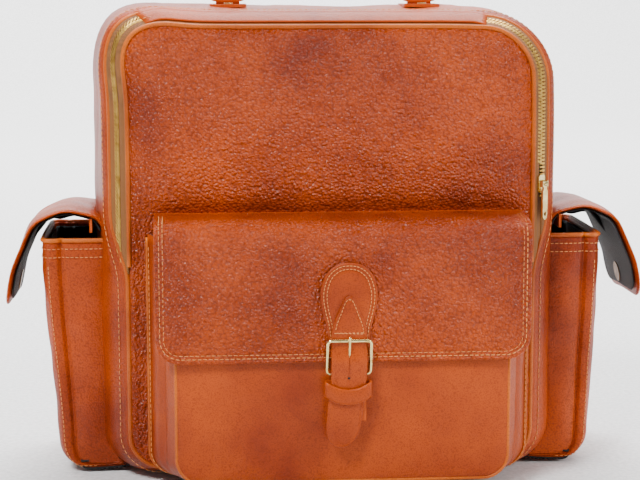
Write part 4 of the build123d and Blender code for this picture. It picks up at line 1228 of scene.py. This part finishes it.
def side_flap(side):
    """One side flap: it stands open over its pocket, with its dark lining below."""
    name = "right" if side > 0 else "left"
    profile = Profile([(SIDE_AXIS_X + x, SIDE_AXIS_Z + z) for x, z in SIDE_PROFILE_POINTS],
                      [8.0, 24.0, 20.0, 48.0], side=-1)
    half, middle = (SIDE_FLAP_HIGH[1] - SIDE_FLAP_LOW[1]) / 2, (SIDE_FLAP_HIGH[1] + SIDE_FLAP_LOW[1]) / 2

    def place(across, along, height):
        across, along = np.asarray(across, float), np.asarray(along, float)
        room = smooth_step(half - np.abs(across), 2, 22) * smooth_step(profile.length - along, 2, 26)
        p, n = profile.place(along)
        height = np.broadcast_to(height, across.shape)
        warp = 2.2 * (across / half) ** 2 * smooth_step(along, 25,
                                                        90)  # the corners curl away from the pocket
        p = p + n * (height + 1.4 * room * (height > 0.6) + warp * 0.6)[..., None]
        narrowing = (BODY_HALF - np.interp(middle + across, DEPTHS, HALF_WIDTHS)) * smooth_step(along, 30, 12)
        droop = SIDE_FLAP_DROOP * smooth_step(across, 0, half) * smooth_step(along, 8, 40)
        return xyz(side * (p[..., 0] - narrowing), middle + across, p[..., 1] - droop)

    def under(across, along, height):
        return place(across, along + 4.0, np.asarray(height) - 2.2)

    reach = profile.length
    piece = turned_panel("side_flap_leather_" + name, half, reach, 20.0, place, 2.4, 0.5, FINE,
                         grooves=(3.2,), wave=0.8, seed=21.0 + side)
    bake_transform(piece)
    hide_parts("side_flap_" + name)
    cloth_piece = turned_panel("side_flap_cloth_" + name, half - 4.5, reach - 9, 16.0, under, 1.0, 0.0,
                               LINING, wave=0.0)
    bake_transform(cloth_piece)
    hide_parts("side_flap_lining_" + name)
    steps = np.linspace(6, 62, 24)
    hang = EAR_DEPTH * smooth_step(steps, 4, 20) * smooth_step(68 - steps, 0, 26)
    edge = place(np.full(24, half - 1.6), steps, -0.6)
    ear = np.array([edge - xyz(0 * hang, 0 * hang, hang * share) for share in np.linspace(0, 1, 6)])
    # The lip's front face is dark cloth: painted shade under the flap.
    for label, shift, material, slot in (("ear", 0.0, FINE, "pebbled_leather"),
                                         ("ear_shade_cloth", -1.7, LINING, "lining_cloth")):
        ear_piece = sheet_solid(f"side_flap_{label}_{name}", ear + (0, shift, 0), 1.2, material)
        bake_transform(ear_piece)
    rows = edge_rows(half, reach, 20.0, place, (3.2,),
                     lambda inset: turned_height(inset, 2.4, 0.5, (3.2,)) + 0.1)
    threads = stitches("side_flap_stitches_" + name, rows, THREAD, 3.6, 2.7, 0.32)
    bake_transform(threads)


# ---- Handle

GRIP_LOW, GRIP_HIGH = box_mm("handle_grip")


def handle():
    """The rolled grip, with its seam and stitches underneath."""
    half, y = (GRIP_HIGH[0] - GRIP_LOW[0]) / 2, (GRIP_HIGH[1] + GRIP_LOW[1]) / 2
    radius = (GRIP_HIGH[1] - GRIP_LOW[1]) / 2
    foot = 374.0
    post = half - radius - 0.5
    corner = Profile([(-post, foot + 5), (-post + 8, GRIP_HIGH[2] - radius),
                      (post - 8, GRIP_HIGH[2] - radius), (post, foot + 5)], [26.0, 26.0], 16)
    along = np.linspace(0, corner.length, 90)
    p, n = corner.place(along)
    path = upright(p, y)
    ends = np.minimum(along, corner.length - along)
    widths = radius * (0.62 + 0.38 * smooth_step(ends, 0, 22)) + 0.25 * np.sin(along / 9)
    grip = tube("handle_grip_leather", path, widths, SMOOTH, sides=28, up=(0, 1, 0))
    finish_piece(grip, "handle_grip")
    inward = upright(n, 0.0)
    centre = path.mean(axis=0)
    inward = inward * np.sign(np.sum(inward * (centre - path), axis=1))[:, None]
    seam = tube("handle_grip_seam", (path + inward * (widths[:, None] - 0.1))[4:-4], 1.3, EDGE, sides=8,
                up=(0, 1, 0))
    finish_piece(seam, "handle_grip")
    rows = []
    for way in (-1, 1):
        lean = unit(inward * 0.86 + np.array([0, way * 0.5, 0]))
        rows.append(((path + lean * (widths[:, None] + 0.05))[5:-5], lean[5:-5], False))
    sewn("handle_grip_stitches", rows, "handle_grip", 3.8, 2.8, 0.34)


# ---- Back and shoulder straps

SHOULDER_TOP, SHOULDER_LOW = np.array([45.0, 84.5, 300.0]), np.array([128.0, 84.5, 34.0])
RING_LINK = 13.0  # between a ring's two bars
PAD_HALF, PAD_THICK = 23.0, 9.0
STRAP_HALF = 12.0
STRAP_LEAN = math.radians(13.8)
HEEL_FROM_RING, PAD_ABOVE_HEEL = 60.0, 112.0
HEEL_OUT = -0.9  # from the lower ring's loop out to the heel bar


def back_panel():
    """The back: a padded leather panel with a stitched edge."""
    low, high = box_mm("back_panel")
    half = (high[0] - low[0]) / 2
    insets = [0, 0.5, 1.2, 2.2, 3.5, 5, 7, 10, 14, 19, 25, 32, 40, 48, 56, 65, 74, 84, 94, 104, 114, 124,
              134, 144, 152]
    outer, inner = [], []
    for inset in insets:
        loop, _ = rounded(half - inset, high[2] - inset, low[2] + inset, max(46 - inset, 4),
                          max(28 - inset, 4))
        edge = 1 - math.exp(-inset / 3.0)
        swell = 1.2 * edge + 0.3 * lumps(upright(loop, 0.0), 50.0, 1.0, 31.0)
        outer.append(xyz(loop[:, 0], low[1] + 0.5 + swell, loop[:, 1]))
        inner.append(xyz(loop[:, 0], low[1] + 0.2, loop[:, 1]))
    panel = crowned("back_panel_leather", outer, inner, FINE)
    finish_piece(panel, "bag", ["back_panel"])
    line, _ = rounded(half - 5, high[2] - 5, low[2] + 5, 41, 23)
    path = xyz(line[:, 0], low[1] + 1.9, line[:, 1])
    sewn("back_panel_stitches", [(path, np.tile([0.0, 1.0, 0.0], (AROUND, 1)), True)], "bag", 4.4, 3.2, 0.36)


def strap_space(side):
    """Turns a shoulder strap's own coordinates, across it, away from the bag and up it, into places."""
    down = (SHOULDER_LOW - SHOULDER_TOP) / np.linalg.norm(SHOULDER_LOW - SHOULDER_TOP)
    across = np.array([-down[2], 0, down[0]])

    def place(points):
        p = np.asarray(points, float)
        spot = SHOULDER_TOP + p[..., :1] * across + p[..., 1:2] * np.array([0, 1.0, 0]) - p[..., 2:] * down
        return spot * (side, 1, 1)

    return place


def band(name, path, half, thick, place, material, side):
    """A flat strap of leather along a path of (out, up) points."""
    across = np.linspace(-half, half, 9)
    crown = 0.25 * (1 - (across / half) ** 4)
    path = np.asarray(path, float)
    run = unit(np.gradient(path, axis=0))
    normal = np.stack([run[:, 1], -run[:, 0]], axis=1)
    rows = [xyz(across, p[0] + n[0] * crown, p[1] + n[1] * crown) for p, n in zip(path, normal)]
    return sheet_solid(name, place(np.array(rows)), thick, material, flip=side > 0)


def loop_path(centre, radius, start, end):
    """Points round a bar, between two angles in degrees."""
    turn = np.radians(np.linspace(start, end, 20))
    return [(centre[0] + radius * math.cos(t), centre[1] + radius * math.sin(t)) for t in turn]


def shoulder_strap(side):
    """The padded strap with its leather tongue, and the lower strap that buckles to it."""
    name = "right" if side > 0 else "left"
    body = "shoulder_strap_" + name
    place = strap_space(side)
    span = np.linalg.norm(SHOULDER_LOW - SHOULDER_TOP)
    uphill = np.array([math.sin(STRAP_LEAN), math.cos(STRAP_LEAN)])
    outward_way = np.array([uphill[1], -uphill[0]])
    low_bar, high_bar = np.array([0, RING_LINK - span]), np.array([0, -RING_LINK])
    heel = low_bar + uphill * HEEL_FROM_RING + outward_way * HEEL_OUT
    bend = heel + uphill * PAD_ABOVE_HEEL
    top_run = (bend - high_bar) / np.linalg.norm(bend - high_bar)
    middle = Profile([high_bar + top_run * 15, bend, heel + uphill * 34], [120.0], 14)
    marks = np.linspace(0, middle.length, 64)
    p, n = middle.place(marks)
    turn = turns(36)
    rings = []
    for mark, spot, normal in zip(marks, p, n):
        end = min(mark, middle.length - mark)
        taper = math.sqrt(max(0.02, 1 - max(0.0, 1 - end / 16) ** 2))
        fat = 0.35 + 0.65 * smooth_step(end, 0, 26)
        ring = []
        for t in turn:
            c, d = math.cos(t), math.sin(t)
            x = PAD_HALF * taper * math.copysign(abs(c) ** 0.8, c)
            edge = 1 - math.exp(-(PAD_HALF * taper - abs(x)) / 3.0)
            ride = PAD_THICK / 2 * fat * (0.25 + 0.75 * edge) * math.copysign(abs(d) ** 0.7, d)
            ring.append((x, spot[0] + normal[0] * ride, spot[1] + normal[1] * ride))
        rings.append(ring)
    rings = np.array(rings)
    faces = grid_faces(len(rings), 36, False, True)
    faces += [tuple(range(36)), tuple((len(rings) - 1) * 36 + k for k in reversed(range(36)))]
    pad = outward(mesh("shoulder_pad_leather_" + name, place(rings).reshape(-1, 3), faces, FINE))
    finish_piece(pad, body, ["shoulder_pad_" + name])
    for way in (0, 18):
        seam = tube(f"shoulder_pad_seam_{name}_{way}", place(rings)[4:-4, way], 1.1, EDGE, sides=8,
                    up=(0, 1, 0))
        finish_piece(seam, body)
    rows = []
    for column in (4, 14):
        path = place(rings)[5:-5, column]
        outside = unit(place(rings)[5:-5, 9] - place(rings)[5:-5, 27])
        rows.append((path, outside, False))
    sewn("shoulder_pad_stitches_" + name, rows, body, 4.2, 3.2, 0.38)

    angle = math.degrees(math.atan2(top_run[1], top_run[0]))
    upper = [tuple(high_bar + top_run * 22)] + loop_path(high_bar, 3.4, angle + 62,
                                                         angle + 298)[::-1] + [tuple(high_bar + top_run * 22)]
    finish_piece(band("shoulder_tongue_" + name, upper, STRAP_HALF, 1.3, place, SMOOTH, side), body)
    lower = [tuple(heel + uphill * 38 + outward_way * 1.5)] + loop_path(heel, 2.7, -13.8, -104)
    lower += [tuple(heel + uphill * 38 - outward_way * 1.5)]
    finish_piece(band("shoulder_chape_" + name, lower, STRAP_HALF - 0.5, 1.2, place, SMOOTH, side), body)

    line = [tuple(low_bar + uphill * (HEEL_FROM_RING + 29) + outward_way * 3.2),
            tuple(low_bar + uphill * 6 + outward_way * 3.6)]
    line += loop_path(low_bar, 3.5, -13.8, -286.2)
    finish_piece(band("shoulder_lower_strap_leather_" + name, line, STRAP_HALF, 1.8, place, SMOOTH, side),
                 body, ["shoulder_lower_strap_" + name])


# ---- CAD nodes that stay

KEPT = [
    (BRASS, ["rivets", "handle_rings", "shoulder_rings_left", "shoulder_rings_right", "snap_bases",
             "front_snap_cap",
                      "buckle_frame", "buckle_prong", "shoulder_buckle_left",
                      "shoulder_buckle_right", "shoulder_prong_left", "shoulder_prong_right", "zip_slider",
                      "zip_pull", "zip_stops"]),
    (SMOOTH, ["flap_anchors", "handle_tabs", "shoulder_tabs", "closure_chape", "handle_grip"]),
    # The side snap caps take brass painted dark as shade.
    (SNAP_SHADE_BRASS, ["side_snap_cap_left", "side_snap_cap_right"]),
    (LINING, ["front_lining_upper", "flap_lining"]),
    (BOARD, ["base_board"]),
    (FOAM, ["back_pad"]),
]


def paint_kept():
    """Gives each CAD node that stays its material."""
    for material, names in KEPT:
        for name in names:
            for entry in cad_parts[name].material_slots:
                entry.material = material


# ---- Floor, light and camera


def area_light(name, place, target, size, power):
    """A soft box that faces target."""
    data = bpy.data.lights.new(name, "AREA")
    data.shape, data.size, data.size_y = "RECTANGLE", size[0], size[1]
    data.energy = power
    lamp = bpy.data.objects.new(name, data)
    lamp.location = place
    lamp.rotation_euler = (Vector(target) - Vector(place)).to_track_quat("-Z", "Y").to_euler()
    bpy.context.scene.collection.objects.link(lamp)


def studio():
    """A pale floor that curves up behind, soft boxes and an even sky."""
    paper = plain("pale floor", rgb(232, 232, 232), 0.9, 0.004)
    floor, wall, curve, wide = -7500.0, 4300.0, 1300.0, 5200.0
    line = [(floor - 1500, 0)] + [(wall - curve + curve * math.sin(t), curve - curve * math.cos(t))
                                  for t in np.linspace(0, math.pi / 2, 24)]
    line.append((wall, 4200))
    rows = np.array([[(x, y, z - 0.3) for x in np.linspace(-wide, wide, 8)] for y, z in line])
    sweep = mesh("floor", rows.reshape(-1, 3), grid_faces(len(rows), 8, False, False), paper)
    world = bpy.data.worlds.new("studio")
    world.use_nodes = True
    world.node_tree.nodes["Background"].inputs["Color"].default_value = (1.0, 1.0, 1.0, 1.0)
    world.node_tree.nodes["Background"].inputs["Strength"].default_value = 0.31
    bpy.context.scene.world = world
    area_light("key", (-0.9, -1.3, 1.9), (0, 0, 0.2), (0.5, 0.5), 62)
    area_light("right", (1.6, -0.9, 1.0), (0, 0, 0.2), (0.4, 0.9), 24)
    area_light("top", (0.1, 0.3, 1.8), (0, 0, 0.2), (1.4, 0.6), 24)
    area_light("backdrop", (0.0, 2.0, 3.2), (0, 3.3, 0.2), (5.0, 1.4), 585)


EYE, TARGET, LENS = (-0.107, -1.322, 0.370), (-0.009, -0.076, 0.182), 96.0


def camera():
    data = bpy.data.cameras.new("camera")
    data.lens, data.sensor_width = LENS, 36.0
    data.clip_end = 30
    thing = bpy.data.objects.new("camera", data)
    thing.location = EYE
    thing.rotation_euler = (Vector(TARGET) - Vector(EYE)).to_track_quat("-Z", "Y").to_euler()
    bpy.context.scene.collection.objects.link(thing)
    bpy.context.scene.camera = thing


body_shell()
main_lining()
seams()
front_panel()
zipper()
zip_cover()
front_pocket()
front_flap()
closure()
for way in (1, -1):
    side_pocket(way)
    side_flap(way)
    shoulder_strap(way)
handle()
back_panel()
paint_kept()
studio()
camera()
